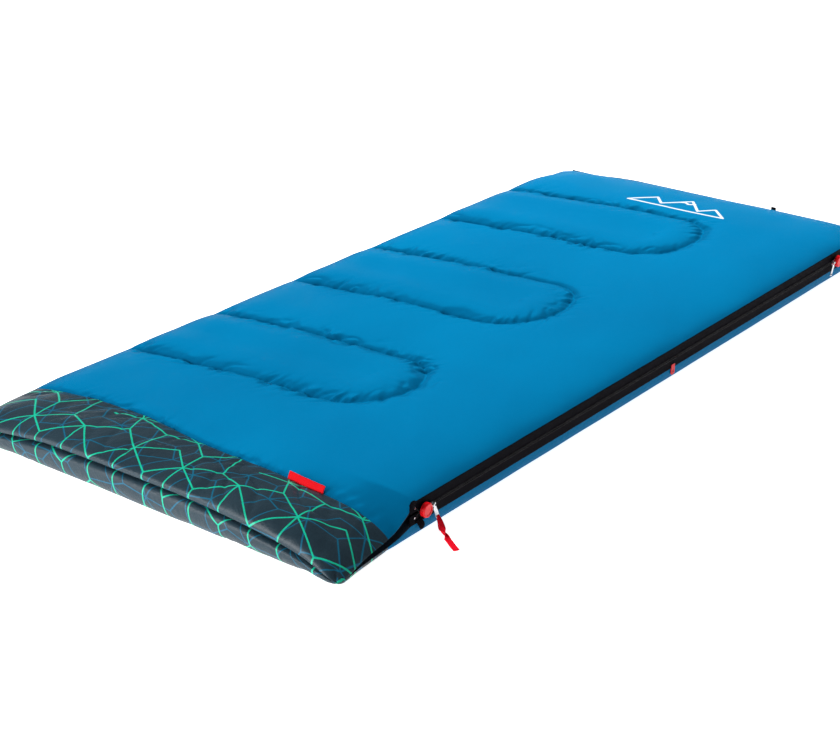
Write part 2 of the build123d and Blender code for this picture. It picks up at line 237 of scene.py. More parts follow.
# %% Valleys and puckers
PUCKER_PEAK = 0.008


def puckers(away, along, seed, spacing, height):
    """Gathers beside a seam, highest a few millimetres from the stitches."""
    away = np.abs(away)
    lean = along + 0.35 * away * rumple(along / 0.06, away * 0, seed + 3)
    side = (rumple(lean / spacing, away / 0.05, seed)
            + 0.6 * rumple(lean * 2.1 / spacing, away / 0.03, seed + 1))
    strength = 0.6 + 0.8 * rumple(along / 0.05, away * 0, seed + 2)
    nearby = (away / PUCKER_PEAK) * np.exp(1 - away / PUCKER_PEAK)
    return height * side * np.clip(strength, 0.12, 1.3) * nearby


def creases(p, q, seed, width, length, depth, breadth=0.26):
    """Sharp narrow creases, about a width apart and a length long, that come and go."""
    wander = p + 0.4 * width * rumple(q / length, p / length, seed + 1)
    line = np.abs(rumple(wander / width, q / length, seed))
    here = np.clip(0.5 + 1.2 * rumple(p / (2.5 * width), q / length, seed + 2), 0, 1)
    return -depth * here * np.exp(-line / breadth)


def valley(away, depth, dip=0.030):
    """The fall of the cloth to a seam: a sharp crease in a broad dip."""
    away = np.abs(away)
    return -depth * (0.5 * np.exp(-away / 0.006) + 0.5 * np.exp(-away / dip))


def quilting(x, y, seed):
    """The height that the three U seams give the cloth, 0 far from them."""
    height = np.zeros(np.broadcast(x, y).shape)
    fold_side = ease(-x, 0.1, 0.4)
    for number, (centre, spread) in enumerate(zip(SEAM_CENTRES, SEAM_SPREADS)):
        away, along = seam_place(x, y, centre, spread)
        height += valley(away, depth=0.0095 + 0.006 * fold_side, dip=0.030 + 0.030 * fold_side)
        pucker_seed = seed + 10 * number
        outside = puckers(away, along, pucker_seed, spacing=0.012, height=0.0029)
        inside = puckers(away, along, pucker_seed + 5, spacing=0.012, height=0.0029)
        height += np.where(away > 0, outside, inside)
        drawn = creases(along + 0.5 * away, away, pucker_seed + 7,
                        width=0.024, length=0.050, depth=0.0062, breadth=0.20)
        height += np.exp(-np.abs(away) / 0.022) * drawn
        height += 0.0035 * np.exp(-((away + 0.055) / 0.045) ** 2)
    return height


print("the valley is", round(float(-valley(0.0, 8.5)), 1), "mm deep at the stitches")

# %% [markdown]
# ## How the head end hangs
# The bag is open at the head. In the middle the top quilt stands off the lower one, and towards the
# zip it sags until its corner nearly lies on the floor. A few heights along the edges describe that,
# and an easing takes it back to nothing before the zip starts. The cuff seam also drifts a little
# towards the foot on the fold side, as on any bag that was laid down by hand.

# %% Sag of the head end
GAP_X = (-0.416, -0.339, -0.228, -0.10, 0.08, 0.172, 0.263, 0.33, 0.416)
GAP_LIFT = (-0.011, -0.005, 0.006, 0.008, 0.009, 0.006, 0.002, 0.0, 0.0)
SAG_Y = (-0.953, -0.93, -0.874, -0.832, -0.80, -0.775, -0.755)
SAG_DROP = (0.046, 0.045, 0.042, 0.037, 0.029, 0.014, 0.0)
DRIFT_X = (-0.416, -0.27, -0.14, 0.0, 0.12, 0.24, 0.416)
DRIFT = (0.018, 0.034, 0.031, 0.010, 0.002, -0.004, 0.0)


def head_share(y):
    """1 at the head edge and 0 where the zip starts."""
    return ease(y, -0.735, HEAD + 0.015)


def corner_sag(x, y):
    """How far the edge of the upper quilt falls beside the open corner."""
    return np.interp(y, SAG_Y, SAG_DROP) * np.exp((x - RIGHT) / 0.09)


def gap_lift(x, y):
    """How far the gap between the quilts stands above its usual height."""
    return np.interp(x, GAP_X, GAP_LIFT) * head_share(y) - 0.6 * corner_sag(x, y)


def drift(x, y):
    """How far the cloth round the cuff seam has moved towards the foot."""
    return np.interp(x, DRIFT_X, DRIFT) * np.exp(-((y - CUFF_SEAM) / 0.07) ** 2)


print("the corner sags", round(float(corner_sag(RIGHT, HEAD)) * 1000), "mm")

# %% [markdown]
# ## The four faces
# Each quilt has an outer face and an inner face, and both start from the quilt's edge seam. A face
# is only a height over the plan, so each is a short function: a round edge, the quilting, and some
# slow unevenness from the stuffing. The zip side of the upper quilt falls away over a wide band,
# because the tape pulls it down. The thickness in the middle comes from four heights.

# %% Heights of the faces
def edges(x, y, left, right, head, foot):
    """The round edges of a face: 0 at the plan's border and 1 inside, with a width for each side."""
    return (rise(x - LEFT, left) * rise(RIGHT - x, right, 0.5 if right < 0.1 else 0.72)
            * rise(y - HEAD, head) * rise(FOOT - y, foot))


FOOT_DROP = 0.016
UPPER_CLOTH, LOWER_CLOTH = TOP - 0.0055, -0.0005
UPPER_LINING, LOWER_LINING = 0.0430, 0.0372


def unevenness(x, y, seed):
    """Slow unevenness of stuffing that has moved about."""
    broad = rumple(x / 0.21, y / 0.24, seed)
    small = rumple(x / 0.07 + y / 0.2, y / 0.09, seed + 1)
    drag = rumple((x + 0.6 * y) / 0.035, (y - 0.6 * x) / 0.11, seed + 2)
    return 0.0016 * broad + 0.0007 * small + 0.0003 * drag


def foot_share(y):
    """0 along the bag and 1 at the foot, where the bag is pressed flatter."""
    return ease(y, 0.78, 0.93)


def edge_fall(x, y):
    """How far the edge of the upper quilt and the zip fall towards the fold and the flatter foot."""
    return np.minimum(0.013 * ease(-x, 0.2, 0.416) + FOOT_DROP * foot_share(y), 0.024)


def fold_end(x, y):
    """1 at the foot corner of the fold, where both quilts are pinched together."""
    return np.exp(-((x - LEFT) ** 2 + (y - FOOT) ** 2) / 0.016 ** 2)


def top_seam(x, y):
    """Height of the edge seam of the upper quilt."""
    wave = 0.0012 * rumple(y / 0.11, x / 0.15, 31)
    low = edge_fall(x, y) + 0.008 * ease(y, -0.86, HEAD) + corner_sag(x, y) + 0.007 * fold_end(x, y)
    return TOP_SEAM + 0.7 * np.interp(x, GAP_X, GAP_LIFT) * head_share(y) - low + wave


def bottom_seam(x, y):
    """Height of the edge seam of the lower quilt."""
    return (BOTTOM_SEAM + 0.4 * np.interp(x, GAP_X, GAP_LIFT) * head_share(y)
            - 0.42 * corner_sag(x, y) - 0.75 * edge_fall(x, y) * foot_share(y) + 0.014 * fold_end(x, y))


def cuff_shape(x, y, seed, spacing):
    """The cuff: a padded roll between its seam and the head edge."""
    away = y - CUFF_SEAM
    share = np.clip((y - HEAD) / (CUFF_SEAM - HEAD), 0, 1)
    roll = 0.003 * np.sin(math.pi * share)
    on_cuff = ease(-away, 0.0, 0.012)
    drawn = (creases(x + 0.5 * y, y, seed + 6, width=0.045, length=0.070, depth=0.0044)
             + creases(x - 0.7 * y, y, seed + 8, width=0.028, length=0.060, depth=0.0030))
    gathers = puckers(away, x, seed, spacing, height=0.0018)
    return valley(away, depth=0.006) + gathers + roll + drawn * on_cuff


def top_face(x, y):
    """The outer face of the upper quilt."""
    border = edges(x, y, left=0.09, right=0.135, head=0.060, foot=0.12)
    flat = (UPPER_CLOTH + 0.0045 * ease(x, 0.0, 0.2) - 0.75 * corner_sag(x, y)
            - 0.007 * ease(-x, 0.12, 0.40) - 0.008 * ease(y, 0.70, 0.93)
            + 0.5 * np.interp(x, GAP_X, GAP_LIFT) * head_share(y))
    seam = top_seam(x, y)
    detail = cuff_shape(x, y, 150, 0.011) + unevenness(x, y, 160)
    pull = 0.0007 * rumple(y / 0.02, x / 0.05, 171) * np.exp((x - RIGHT) / 0.03)
    return (seam + (flat - seam) * border + quilting(x, y, 100) * border ** 0.8
            + detail * border ** 1.5 + pull * border)


def top_inside(x, y):
    """The inner face of the upper quilt, seen when it is opened."""
    border = edges(x, y, left=0.035, right=0.030, head=0.012, foot=0.035)
    flat = UPPER_LINING + gap_lift(x, y)
    seam = top_seam(x, y)
    return seam + (flat - seam) * border - 0.4 * quilting(x, y, 200) * border ** 2


def bottom_inside(x, y):
    """The inner face of the lower quilt."""
    border = edges(x, y, left=0.035, right=0.030, head=0.010, foot=0.035)
    flat = LOWER_LINING + gap_lift(x, y)
    seam = bottom_seam(x, y)
    return seam + (flat - seam) * border + 0.4 * quilting(x, y, 300) * border ** 2


def under_face(x, y):
    """The outer face of the lower quilt. Where it rests on the floor it is flat."""
    border = edges(x, y, left=0.025, right=0.014, head=0.018, foot=0.025)
    detail = quilting(x, y, 400) + cuff_shape(x, y, 450, 0.012) + 0.5 * unevenness(x, y, 460)
    height = bottom_seam(x, y) * (1 - border) - detail * border ** 2 + LOWER_CLOTH
    return np.maximum(height, 0.0)


print("the upper quilt is", round(float(top_face(0.25, 0.0) - top_inside(0.25, 0.0)) * 1000), "mm thick")

# %% [markdown]
# ## From heights to meshes
# A grid of points becomes a mesh by joining neighbours in fours. The corners of the plan are round:
# the last square of the grid is pressed into a quarter of a disc, and the rows stay in order. The
# open corner at the head is also pushed outwards a little, because its cloth hangs free. The UV map
# holds metres, so every cloth pattern keeps its real size.

# %% Grid meshes
CORNER_PUSH = (0.010, -0.007)


def plan(x, y):
    """The same points with the corners of the plan made round and the open corner pushed out."""
    px, py = x.copy(), y.copy()
    for cx, side_x in ((LEFT + CORNER, -1), (RIGHT - CORNER, 1)):
        for cy, side_y in ((HEAD + CORNER, -1), (FOOT - CORNER, 1)):
            a, b = (x - cx) * side_x / CORNER, (y - cy) * side_y / CORNER
            inside = (a > 0) & (b > 0)
            scale = np.where(inside, np.maximum(a, b) / np.maximum(np.hypot(a, b), 1e-9), 1)
            px = np.where(inside, cx + side_x * a * scale * CORNER, px)
            py = np.where(inside, cy + side_y * b * scale * CORNER, py)
    out = np.exp(-((RIGHT - x) ** 2 + (y - HEAD) ** 2) / 0.05 ** 2)
    return px + CORNER_PUSH[0] * out, py + drift(x, y) + CORNER_PUSH[1] * out


def mesh_piece(name, points, faces, uv=None):
    """A smooth mesh object from points, faces of four corners and a UV pair for each point."""
    points, faces = np.asarray(points, float).reshape(-1, 3), np.asarray(faces).reshape(-1, 4)
    mesh = bpy.data.meshes.new(name)
    mesh.vertices.add(len(points))
    mesh.vertices.foreach_set("co", points.astype(np.float32).ravel())
    mesh.loops.add(faces.size)
    mesh.loops.foreach_set("vertex_index", faces.astype(np.int32).ravel())
    mesh.polygons.add(len(faces))
    mesh.polygons.foreach_set("loop_start", np.arange(0, faces.size, 4, dtype=np.int32))
    mesh.update(calc_edges=True)
    if uv is not None:
        layer = mesh.uv_layers.new(name="metres")
        layer.data.foreach_set("uv", np.asarray(uv, np.float32).reshape(-1, 2)[faces.ravel()].ravel())
    mesh.shade_smooth()
    mesh.validate()
    piece = bpy.data.objects.new(name, mesh)
    scene.collection.objects.link(piece)
    return piece


def grid_faces(rows, columns, closed=False, offset=0, flip=False):
    """Corners of the faces of a grid, which closes on itself across its columns if closed is true."""
    index = np.arange(rows * columns).reshape(rows, columns) + offset
    if closed:
        index = np.concatenate([index, index[:, :1]], axis=1)
    faces = np.stack([index[:-1, :-1], index[:-1, 1:], index[1:, 1:], index[1:, :-1]], -1).reshape(-1, 4)
    return faces[:, ::-1] if flip else faces


def cloth_face(name, height, xs, ys, flip=False):
    """A face of a quilt, from the height function over the rows ys and columns xs."""
    x, y = np.meshgrid(xs, ys)
    z = height(x, y)
    px, py = plan(x, y)
    points = np.stack([px, py, z], -1)
    return mesh_piece(name, points, grid_faces(len(ys), len(xs), flip=flip), np.stack([x, y], -1))


print("a face of 3 rows and 4 columns has", len(grid_faces(3, 4)), "quads")

# %% [markdown]
# ## Where the rows stand
# Three spacings serve all the cloth. The visible shell has rows 3 mm apart beside the seams, where
# the puckers are, the underside has fewer, and the lining fewer still.

# %% Rows and columns
def near_seams(y, close, open_gap):
    """The row spacing: close beside the arms of the U seams and beside the cuff seam."""
    gap = np.full_like(y, open_gap)
    for centre, spread in zip(SEAM_CENTRES, SEAM_SPREADS):
        for arm in (centre - spread, centre + spread):
            gap = np.where(np.abs(y - arm) < 0.030, close, gap)
    return np.where(y < CUFF_SEAM + 0.02, close, gap)


def across(close, open_gap):
    """Columns across the bag, closer where the seam tips turn."""
    return stations(LEFT, RIGHT, lambda x: np.where(np.abs(x - 0.10) < 0.06, close, open_gap))


fine_x = across(0.003, 0.0042)
fine_y = stations(HEAD, FOOT, lambda y: near_seams(y, 0.0028, 0.0058), [CUFF_SEAM])
plain_x = across(0.005, 0.0065)
plain_y = stations(HEAD, FOOT, lambda y: near_seams(y, 0.004, 0.008), [CUFF_SEAM])
LINING_START = HEAD + LINING_CUFF
lining_x = across(0.008, 0.009)
lining_y = stations(HEAD, FOOT, lambda y: near_seams(y, 0.006, 0.010), [LINING_START])
print("fine grid:", len(fine_x), "by", len(fine_y))

# %% [markdown]
# ## Shells and linings
# The shell is the satin outer cloth and the lining the cloth inside. They meet at the edge seam,
# where both follow the same height. Each is one grid over the plan, and both stop at the head end
# where the cuff begins.

# %% Shells and linings
top_shell = cloth_face("top_shell_cloth", top_face, fine_x, fine_y[fine_y > CUFF_SEAM - 1e-6])
bottom_shell = cloth_face("bottom_shell_cloth", under_face, plain_x,
                          plain_y[plain_y > CUFF_SEAM - 1e-6], flip=True)
top_lining = cloth_face("top_lining_cloth", top_inside, lining_x,
                        lining_y[lining_y > LINING_START - 1e-6], flip=True)
bottom_lining = cloth_face("bottom_lining_cloth", bottom_inside, lining_x,
                           lining_y[lining_y > LINING_START - 1e-6])
for piece, node, body in ((top_shell, "top_shell", "top_quilt"),
                          (bottom_shell, "bottom_shell", "bottom_quilt"),
                          (top_lining, "top_lining", "top_quilt"),
                          (bottom_lining, "bottom_lining", "bottom_quilt")):
    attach(piece, body)
    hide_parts(node)
    print(piece.name, len(piece.data.polygons), "faces")

# %% [markdown]
# ## Cuffs
# At the head each quilt has a cuff of printed cloth. It starts at a seam on the outer face, goes
# round the edge and ends a short way inside. It is one mesh, so the print runs on round the edge.
# The second number of its UV map is the distance along the cloth, not along the floor.

# %% Cuffs
def cuff(name, outer, inner, flip):
    """A cuff from the outer face's seam, round the head edge, to the lining."""
    rows_out = fine_y[fine_y < CUFF_SEAM + 1e-6][::-1]
    rows_in = lining_y[lining_y < LINING_START + 1e-6][1:]
    x, y = np.meshgrid(fine_x, np.concatenate([rows_out, rows_in]))
    outside = np.arange(len(y))[:, None] < len(rows_out)
    z = np.where(outside, outer(x, y), inner(x, y))
    px, py = plan(x, y)
    points = np.stack([px, py, z], -1)
    middle = points[:, len(fine_x) // 2]
    along = np.concatenate([[0], np.cumsum(np.linalg.norm(np.diff(middle, axis=0), axis=1))])
    uv = np.stack([x, np.broadcast_to(along[:, None], x.shape)], -1)
    return mesh_piece(name, points, grid_faces(len(y), len(fine_x), flip=flip), uv), along[-1]


top_cuff, wrap = cuff("top_cuff_cloth", top_face, top_inside, flip=True)
bottom_cuff, _ = cuff("bottom_cuff_cloth", under_face, bottom_inside, flip=False)
for piece, node, body in ((top_cuff, "top_cuff", "top_quilt"),
                          (bottom_cuff, "bottom_cuff", "bottom_quilt")):
    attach(piece, body)
    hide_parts(node)
print(f"the upper cuff is {wrap * 1000:.0f} mm of cloth from seam to lining")

# %% [markdown]
# ## Stuffing
# The stuffing is never seen, but it is a real part of the bag, so it has a closed mesh of its own.
# It is the space between the two faces of a quilt, less a few millimetres above and below, and it
# stops short of the edge. It thins out under the stitches. It is never thinner than a film round the
# middle of the two faces, so it can't come out through either.

# %% Stuffing
INSET, MARGIN, PINCH, FILM = 0.030, 0.004, 0.007, 0.0003
stuffing_x = np.linspace(LEFT + INSET, RIGHT - INSET, 90)
stuffing_y = np.linspace(HEAD + INSET, FOOT - INSET, 200)


def stuffing(name, upper, lower):
    """A closed mesh between two faces."""
    x, y = np.meshgrid(stuffing_x, stuffing_y)
    pinch = sum(PINCH * np.exp(-np.abs(seam_place(x, y, c, s)[0]) / 0.02)
                for c, s in zip(SEAM_CENTRES, SEAM_SPREADS))
    pinch = pinch + PINCH * np.exp(-np.abs(y - CUFF_SEAM) / 0.02)
    above, below = upper(x, y), lower(x, y)
    middle = (above + below) / 2
    high = np.maximum(above - MARGIN - pinch * 0.9, middle + FILM)
    low = np.minimum(below + MARGIN + pinch * 0.3, middle - FILM)
    px, py = plan(x, y)
    rows, columns = x.shape
    points = np.concatenate([np.stack([px, py, high], -1).reshape(-1, 3),
                             np.stack([px, py, low], -1).reshape(-1, 3)])
    index = np.arange(rows * columns).reshape(rows, columns)
    rim = np.concatenate([index[0, :-1], index[:-1, -1], index[-1, :0:-1], index[:0:-1, 0]])
    turn = np.roll(rim, -1)
    wall = np.stack([rim, rim + rows * columns, turn + rows * columns, turn], -1)
    faces = np.concatenate([grid_faces(rows, columns),
                            grid_faces(rows, columns, offset=rows * columns, flip=True), wall])
    return mesh_piece(name, points, faces, np.tile(np.stack([x, y], -1).reshape(-1, 2), (2, 1)))


for name, node, body, upper, lower in (
        ("top_stuffing", "top_insulation", "top_quilt", top_face, top_inside),
        ("bottom_stuffing", "bottom_insulation", "bottom_quilt", bottom_inside, under_face)):
    piece = stuffing(name, upper, lower)
    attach(piece, body)
    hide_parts(node)
    print(piece.name, "made")

# %% [markdown]
# ## Stitches
# A row of stitches is hundreds of short loops of thread, each as long as the needle's step, with a
# small gap where the thread goes down through the cloth. Each is a little tapered rod that lies in
# the valley of its seam. All the rods of a quilt are one mesh.

# %% Stitch rows
STITCH, THREAD = 0.0046, 0.00042


def rods(name, starts, ends, radius, sides=5):
    """One mesh of tapered rods, one from each start to its end."""
    starts, ends = np.asarray(starts), np.asarray(ends)
    along = ends - starts
    run = along / np.linalg.norm(along, axis=1, keepdims=True)
    side = np.cross(run, [0.13, 0.21, 0.97])
    side /= np.linalg.norm(side, axis=1, keepdims=True)
    lift = np.cross(side, run)
    shares, widths = np.array([0, 0.12, 0.5, 0.88, 1.0]), np.array([0.25, 0.85, 1.0, 0.85, 0.25])
    angle = np.arange(sides) * 2 * math.pi / sides
    ring = (np.cos(angle)[:, None, None] * side + np.sin(angle)[:, None, None] * lift) * radius
    points = (starts[:, None, None] + along[:, None, None] * shares[:, None, None]
              + ring.transpose(1, 0, 2)[:, None] * widths[:, None, None])
    one = grid_faces(len(shares), sides, closed=True)
    size = len(shares) * sides
    faces = (one[None] + np.arange(len(starts))[:, None, None] * size).reshape(-1, 4)
    return mesh_piece(name, points, faces)


def stitch_points(centre, spread):
    """Plan positions of the needle along a U seam, from the fold side to the tip and back."""
    arm = np.arange(LEFT + 0.012, SEAM_STRAIGHT, STITCH)
    turn = np.linspace(-math.pi / 2, math.pi / 2, int(math.pi / 2 * (SEAM_TIP + spread) / STITCH))
    x = np.concatenate([arm, SEAM_STRAIGHT + SEAM_TIP * np.cos(turn), arm[::-1]])
    y = np.concatenate([np.full_like(arm, centre - spread), centre + spread * np.sin(turn),
                        np.full_like(arm, centre + spread)])
    return x, y + SEAM_SKEW * (x - SEAM_TURN)


def stitch_row(routes, height, offset):
    """Starts and ends of stitches along routes of plan positions, on the face that height gives."""
    starts, ends = [], []
    for x, y in routes:
        points = np.stack([x, y, height(x, y) + offset], -1)
        gap = 0.14 * (points[1:] - points[:-1])
        starts.append(points[:-1] + gap)
        ends.append(points[1:] - gap)
    return np.concatenate(starts), np.concatenate(ends)


routes = [stitch_points(c, s) for c, s in zip(SEAM_CENTRES, SEAM_SPREADS)]
for name, node, body, height, offset in (
        ("top_quilting_stitches", "top_quilting_thread", "top_quilt", top_face, 0.0002),
        ("bottom_quilting_stitches", "bottom_quilting_thread", "bottom_quilt", under_face, 0.0002)):
    piece = rods(name, *stitch_row(routes, height, offset), THREAD)
    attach(piece, body)
    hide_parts(node)
    print(piece.name, len(piece.data.polygons), "faces")

# %% [markdown]
# ## Strips of fabric
# Tape ends, ribbon, label and the fold are all narrow strips. A strip has a centre line and, at
# each point, a direction across it. Catmull-Rom interpolation draws a smooth line through a few
# points, so the route of a strip takes only a handful of numbers.

# %% Strip maker
def smooth_line(points, count):
    """A smooth line of count points through the given points."""
    points = np.asarray(points, float)
    padded = np.concatenate([2 * points[:1] - points[1:2], points, 2 * points[-1:] - points[-2:-1]])
    t = np.linspace(0, len(points) - 1, count)
    i = np.minimum(t.astype(int), len(points) - 2)
    f = (t - i)[:, None]
    a, b, c, d = padded[i], padded[i + 1], padded[i + 2], padded[i + 3]
    return 0.5 * (2 * b + (c - a) * f + (2 * a - 5 * b + 4 * c - d) * f ** 2
                  + (3 * b - a - 3 * c + d) * f ** 3)


def strip(name, centre, across, thickness, columns=7):
    """A strip of cloth: across holds the half-width vector at each point of the centre line."""
    share = np.linspace(-1, 1, columns)
    points = centre[:, None] + across[:, None] * share[None, :, None]
    along = np.concatenate([[0], np.cumsum(np.linalg.norm(np.diff(centre, axis=0), axis=1))])
    half = np.linalg.norm(across, axis=1)
    uv = np.stack([half[:, None] * share, np.broadcast_to(along[:, None], points.shape[:2])], -1)
    piece = mesh_piece(name, points, grid_faces(len(centre), columns), uv)
    thick = piece.modifiers.new("cloth thickness", "SOLIDIFY")
    thick.thickness = thickness
    thick.offset = 0
    return piece


print("a line through 3 points has", len(smooth_line([(0, 0, 0), (1, 0, 0), (2, 1, 0)], 9)), "points")

# %% [markdown]
# ## The fold
# On the side away from the zip, one strip of shell cloth joins both quilts. When the bag is opened
# flat this strip has to bend; here it is one piece, attached to neither quilt, between their seams.

# %% Fold cloth
fold_y = np.linspace(HEAD + CORNER * 0.8, FOOT - CORNER * 0.15, 400)
fold_rows = np.linspace(0, 1, 13)
share, y = np.meshgrid(fold_rows, fold_y)
low, high = bottom_seam(LEFT, y), top_seam(LEFT, y)
end_share = np.clip(np.minimum(y - fold_y[0], fold_y[-1] - y) / 0.02, 0, 1)
small = 0.0032 * rumple(y / 0.02, share * 2, 61) * share * (1 - share)
bulge = 0.0035 * np.sin(math.pi * share) * end_share + small
round_x, round_y = plan(np.full_like(y, LEFT), y)
points = np.stack([round_x + 0.0006 - bulge, round_y, low + (high - low) * share], -1)
fold = mesh_piece("fold_cloth", points, grid_faces(len(fold_y), len(fold_rows), flip=True),
                  np.stack([share * 0.036, y], -1))
fold.modifiers.new("cloth thickness", "SOLIDIFY").thickness = 0.0006
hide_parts("fold_strip")
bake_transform(fold)
print("fold cloth:", len(fold.data.polygons), "faces")

# %% [markdown]
# ## Where the zip runs
# The zip starts beside the open corner, runs down the side, turns round the foot corner and closes
# the foot. Every part of it needs places along that line, so one function gives the place and the
# outward direction at any distance from the start. Another says how far the zip has fallen there,
# because the foot is pressed flatter.

# %% Zip route
coil_low, coil_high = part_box("zip_coil_lower")
upper_low, upper_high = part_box("zip_coil_upper")
TAPE_X, TAPE_Y = 0.4140, 0.9475
BEND = 0.025
BEND_X, BEND_Y = TAPE_X - BEND, TAPE_Y - BEND
ZIP_START = coil_low.y
ZIP_Z = (coil_low.z + upper_high.z) / 2
SIDE_RUN = BEND_Y - ZIP_START
BEND_RUN = math.pi / 2 * BEND
ZIP_END_X = -0.399
FOOT_RUN = BEND_X - ZIP_END_X
LOWER_TAPE, UPPER_TAPE = (0.0270, 0.0454), (0.0486, 0.0670)


def zip_route(s, outward):
    """(x, y, outward normal) at distance s along the tape, at a height outward from its face."""
    angle = np.clip((s - SIDE_RUN) / BEND, 0, math.pi / 2)
    nx, ny = np.cos(angle), np.sin(angle)
    side = np.minimum(s, SIDE_RUN)
    foot = np.maximum(s - SIDE_RUN - BEND_RUN, 0)
    x = BEND_X + (BEND + outward) * nx - foot
    y = np.where(s < SIDE_RUN, ZIP_START + side, BEND_Y + (BEND + outward) * ny)
    return x, y, np.stack([nx, ny, 0 * nx], -1)


def zip_fall(s):
    """How far the zip falls towards the flatter foot, at distance s along it."""
    return edge_fall(*zip_route(s, 0.0)[:2])


def zip_height(level, s):
    """The height, at distance s along the zip, of what stands at a level at its start."""
    return level - zip_fall(s) * np.interp(level, LOWER_TAPE, (0.75, 1.0))


ZIP_LENGTH = SIDE_RUN + BEND_RUN + FOOT_RUN
print(f"the zip is {ZIP_LENGTH:.3f} m long, at z {ZIP_Z:.4f}")

# %% [markdown]
# ## The tapes
# Each coil is sewn to a woven tape, and the tape to the edge of its quilt. A tape is a flat band
# that stands on edge, so a grid along the route is enough, with a Solidify modifier for its
# thickness. It is made in two lengths, one on the side and one on the foot, like the solids it
# replaces.

# %% Tapes
def tape(name, lower_edge, upper_edge, start, stop, body, node):
    """A run of tape between two heights, from start to stop along the zip."""
    s = np.linspace(start, stop, int((stop - start) / 0.004))
    share = np.linspace(0, 1, 9)
    sway = 0.0003 * rumple(s[:, None] / 0.03, share[None] * 2, 81) * ease(s[:, None], 0.06, 0.12)
    x, y, _ = zip_route(s[:, None], sway - 0.0001)
    z = zip_height(lower_edge + (upper_edge - lower_edge) * share[None], s[:, None])
    points = np.stack([x + 0 * z, y + 0 * z, z], -1)
    uv = np.stack([s[:, None] + 0 * z, 0 * s[:, None] + z], -1)
    piece = mesh_piece(name, points, grid_faces(len(s), 9), uv)
    thick = piece.modifiers.new("tape thickness", "SOLIDIFY")
    thick.thickness = 0.0007
    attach(piece, body)
    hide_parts(node)
    return piece


CORNER_RUN = SIDE_RUN + BEND_RUN / 2
tapes = [tape(f"{level}_tape_{part}", low, high, start, stop, body, f"zip_tape_{level}_{part}")
         for level, (low, high), body in (("lower", LOWER_TAPE, "bottom_quilt"),
                                          ("upper", UPPER_TAPE, "top_quilt"))
         for part, start, stop in (("side", -0.015, CORNER_RUN), ("foot", CORNER_RUN, ZIP_LENGTH))]
print("tapes:", [piece.name for piece in tapes])

# %% [markdown]
# ## The zip coils
# A coil zip has no separate teeth. Each side is one nylon thread wound into a long flat helix and
# sewn to its tape, and the turns of both sides hook into each other. A curve with a bevel could
# make it, but a helix of two thousand turns is quicker to compute point by point, with both
# windings half a turn apart so that they interlock.

# %% Coils
PITCH, WIRE = 0.0024, 0.00036
HALF_HIGH, HALF_DEEP, TAPE_GAP = 0.0011, 0.0009, 0.0013


def coil(name, level, phase, flare):
    """One winding: a tube that follows a flat helix along the zip route."""
    steps = 9
    turns = int(ZIP_LENGTH / PITCH)
    turn = np.arange(turns * steps) * 2 * math.pi / steps + phase
    s = np.arange(turns * steps) * PITCH / steps
    x, y, normal = zip_route(s, 0.0)
    ahead = np.stack([-normal[:, 1], normal[:, 0], normal[:, 2]], -1)
    spread = flare * np.clip(1 - s / 0.007, 0, 1) - zip_fall(s)
    centre = np.stack([x, y, level + spread + HALF_HIGH * np.sin(turn)], -1)
    centre += normal * (TAPE_GAP + HALF_DEEP * np.cos(turn))[:, None]
    radial = normal * np.cos(turn)[:, None] + np.array([0, 0, 1.0]) * np.sin(turn)[:, None]
    angle = np.arange(4) * math.pi / 2
    ring = WIRE * (np.cos(angle)[:, None, None] * radial + np.sin(angle)[:, None, None] * ahead)
    points = centre[:, None] + ring.transpose(1, 0, 2)
    return mesh_piece(name, points, grid_faces(len(centre), 4, closed=True))


lower_coil = coil("zip_coil_lower_winding", coil_high.z - 0.0012, 0.0, -0.007)
upper_coil = coil("zip_coil_upper_winding", upper_low.z + 0.0012, math.pi, 0.007)
for piece, node, body in ((lower_coil, "zip_coil_lower", "bottom_quilt"),
                          (upper_coil, "zip_coil_upper", "top_quilt")):
    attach(piece, body)
    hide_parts(node)
    print(piece.name, len(piece.data.polygons), "faces")

# %% [markdown]
# ## Stops
# A small metal stop is pressed onto each tape at both ends of the zip, so the slider can't run off.
# Each is a plain block with a bevel, because a stop is only three millimetres long.

# %% Stops
STOP_LONG, STOP_THICK, STOP_TALL = 0.0015, 0.0007, 0.0018


def stops(name, level, body, node):
    """The two pressed metal stops of one tape. The three stop sizes are halves."""
    points, faces = [], []
    for s in (-STOP_LONG, ZIP_LENGTH - STOP_LONG):
        x, y, normal = (np.squeeze(part) for part in zip_route(np.array([s]), 0.0))
        ahead = np.array([-normal[1], normal[0], 0])
        middle = np.array([x, y, float(zip_height(level, np.array([s]))[0])]) + normal * STOP_THICK
        corners = [middle + ahead * a * STOP_LONG + normal * b * STOP_THICK
                   + np.array([0, 0, c * STOP_TALL])
                   for a in (-1, 1) for b in (-1, 1) for c in (-1, 1)]
        first = len(points)
        points += corners
        faces += [tuple(first + i for i in face) for face in
                  ((0, 1, 3, 2), (4, 6, 7, 5), (0, 4, 5, 1), (2, 3, 7, 6), (0, 2, 6, 4), (1, 5, 7, 3))]
    piece = mesh_piece(name, points, faces)
    press = piece.modifiers.new("pressed edges", "BEVEL")
    press.width = 0.0005
    press.segments = 3
    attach(piece, body)
    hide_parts(node)
    return piece


zip_stops = [stops("upper_zip_stops", 0.0558, "top_quilt", "zip_stops_upper"),
             stops("lower_zip_stops", 0.0382, "bottom_quilt", "zip_stops_lower")]
print("stops:", [piece.name for piece in zip_stops])

# %% [markdown]
# ## Tape stitches
# Each tape is sewn to its quilt with two rows of short stitches, which keep the black band from
# looking like painted card. They use the same rods as the quilting.

# %% Tape stitches
TAPE_STITCH = 0.0034


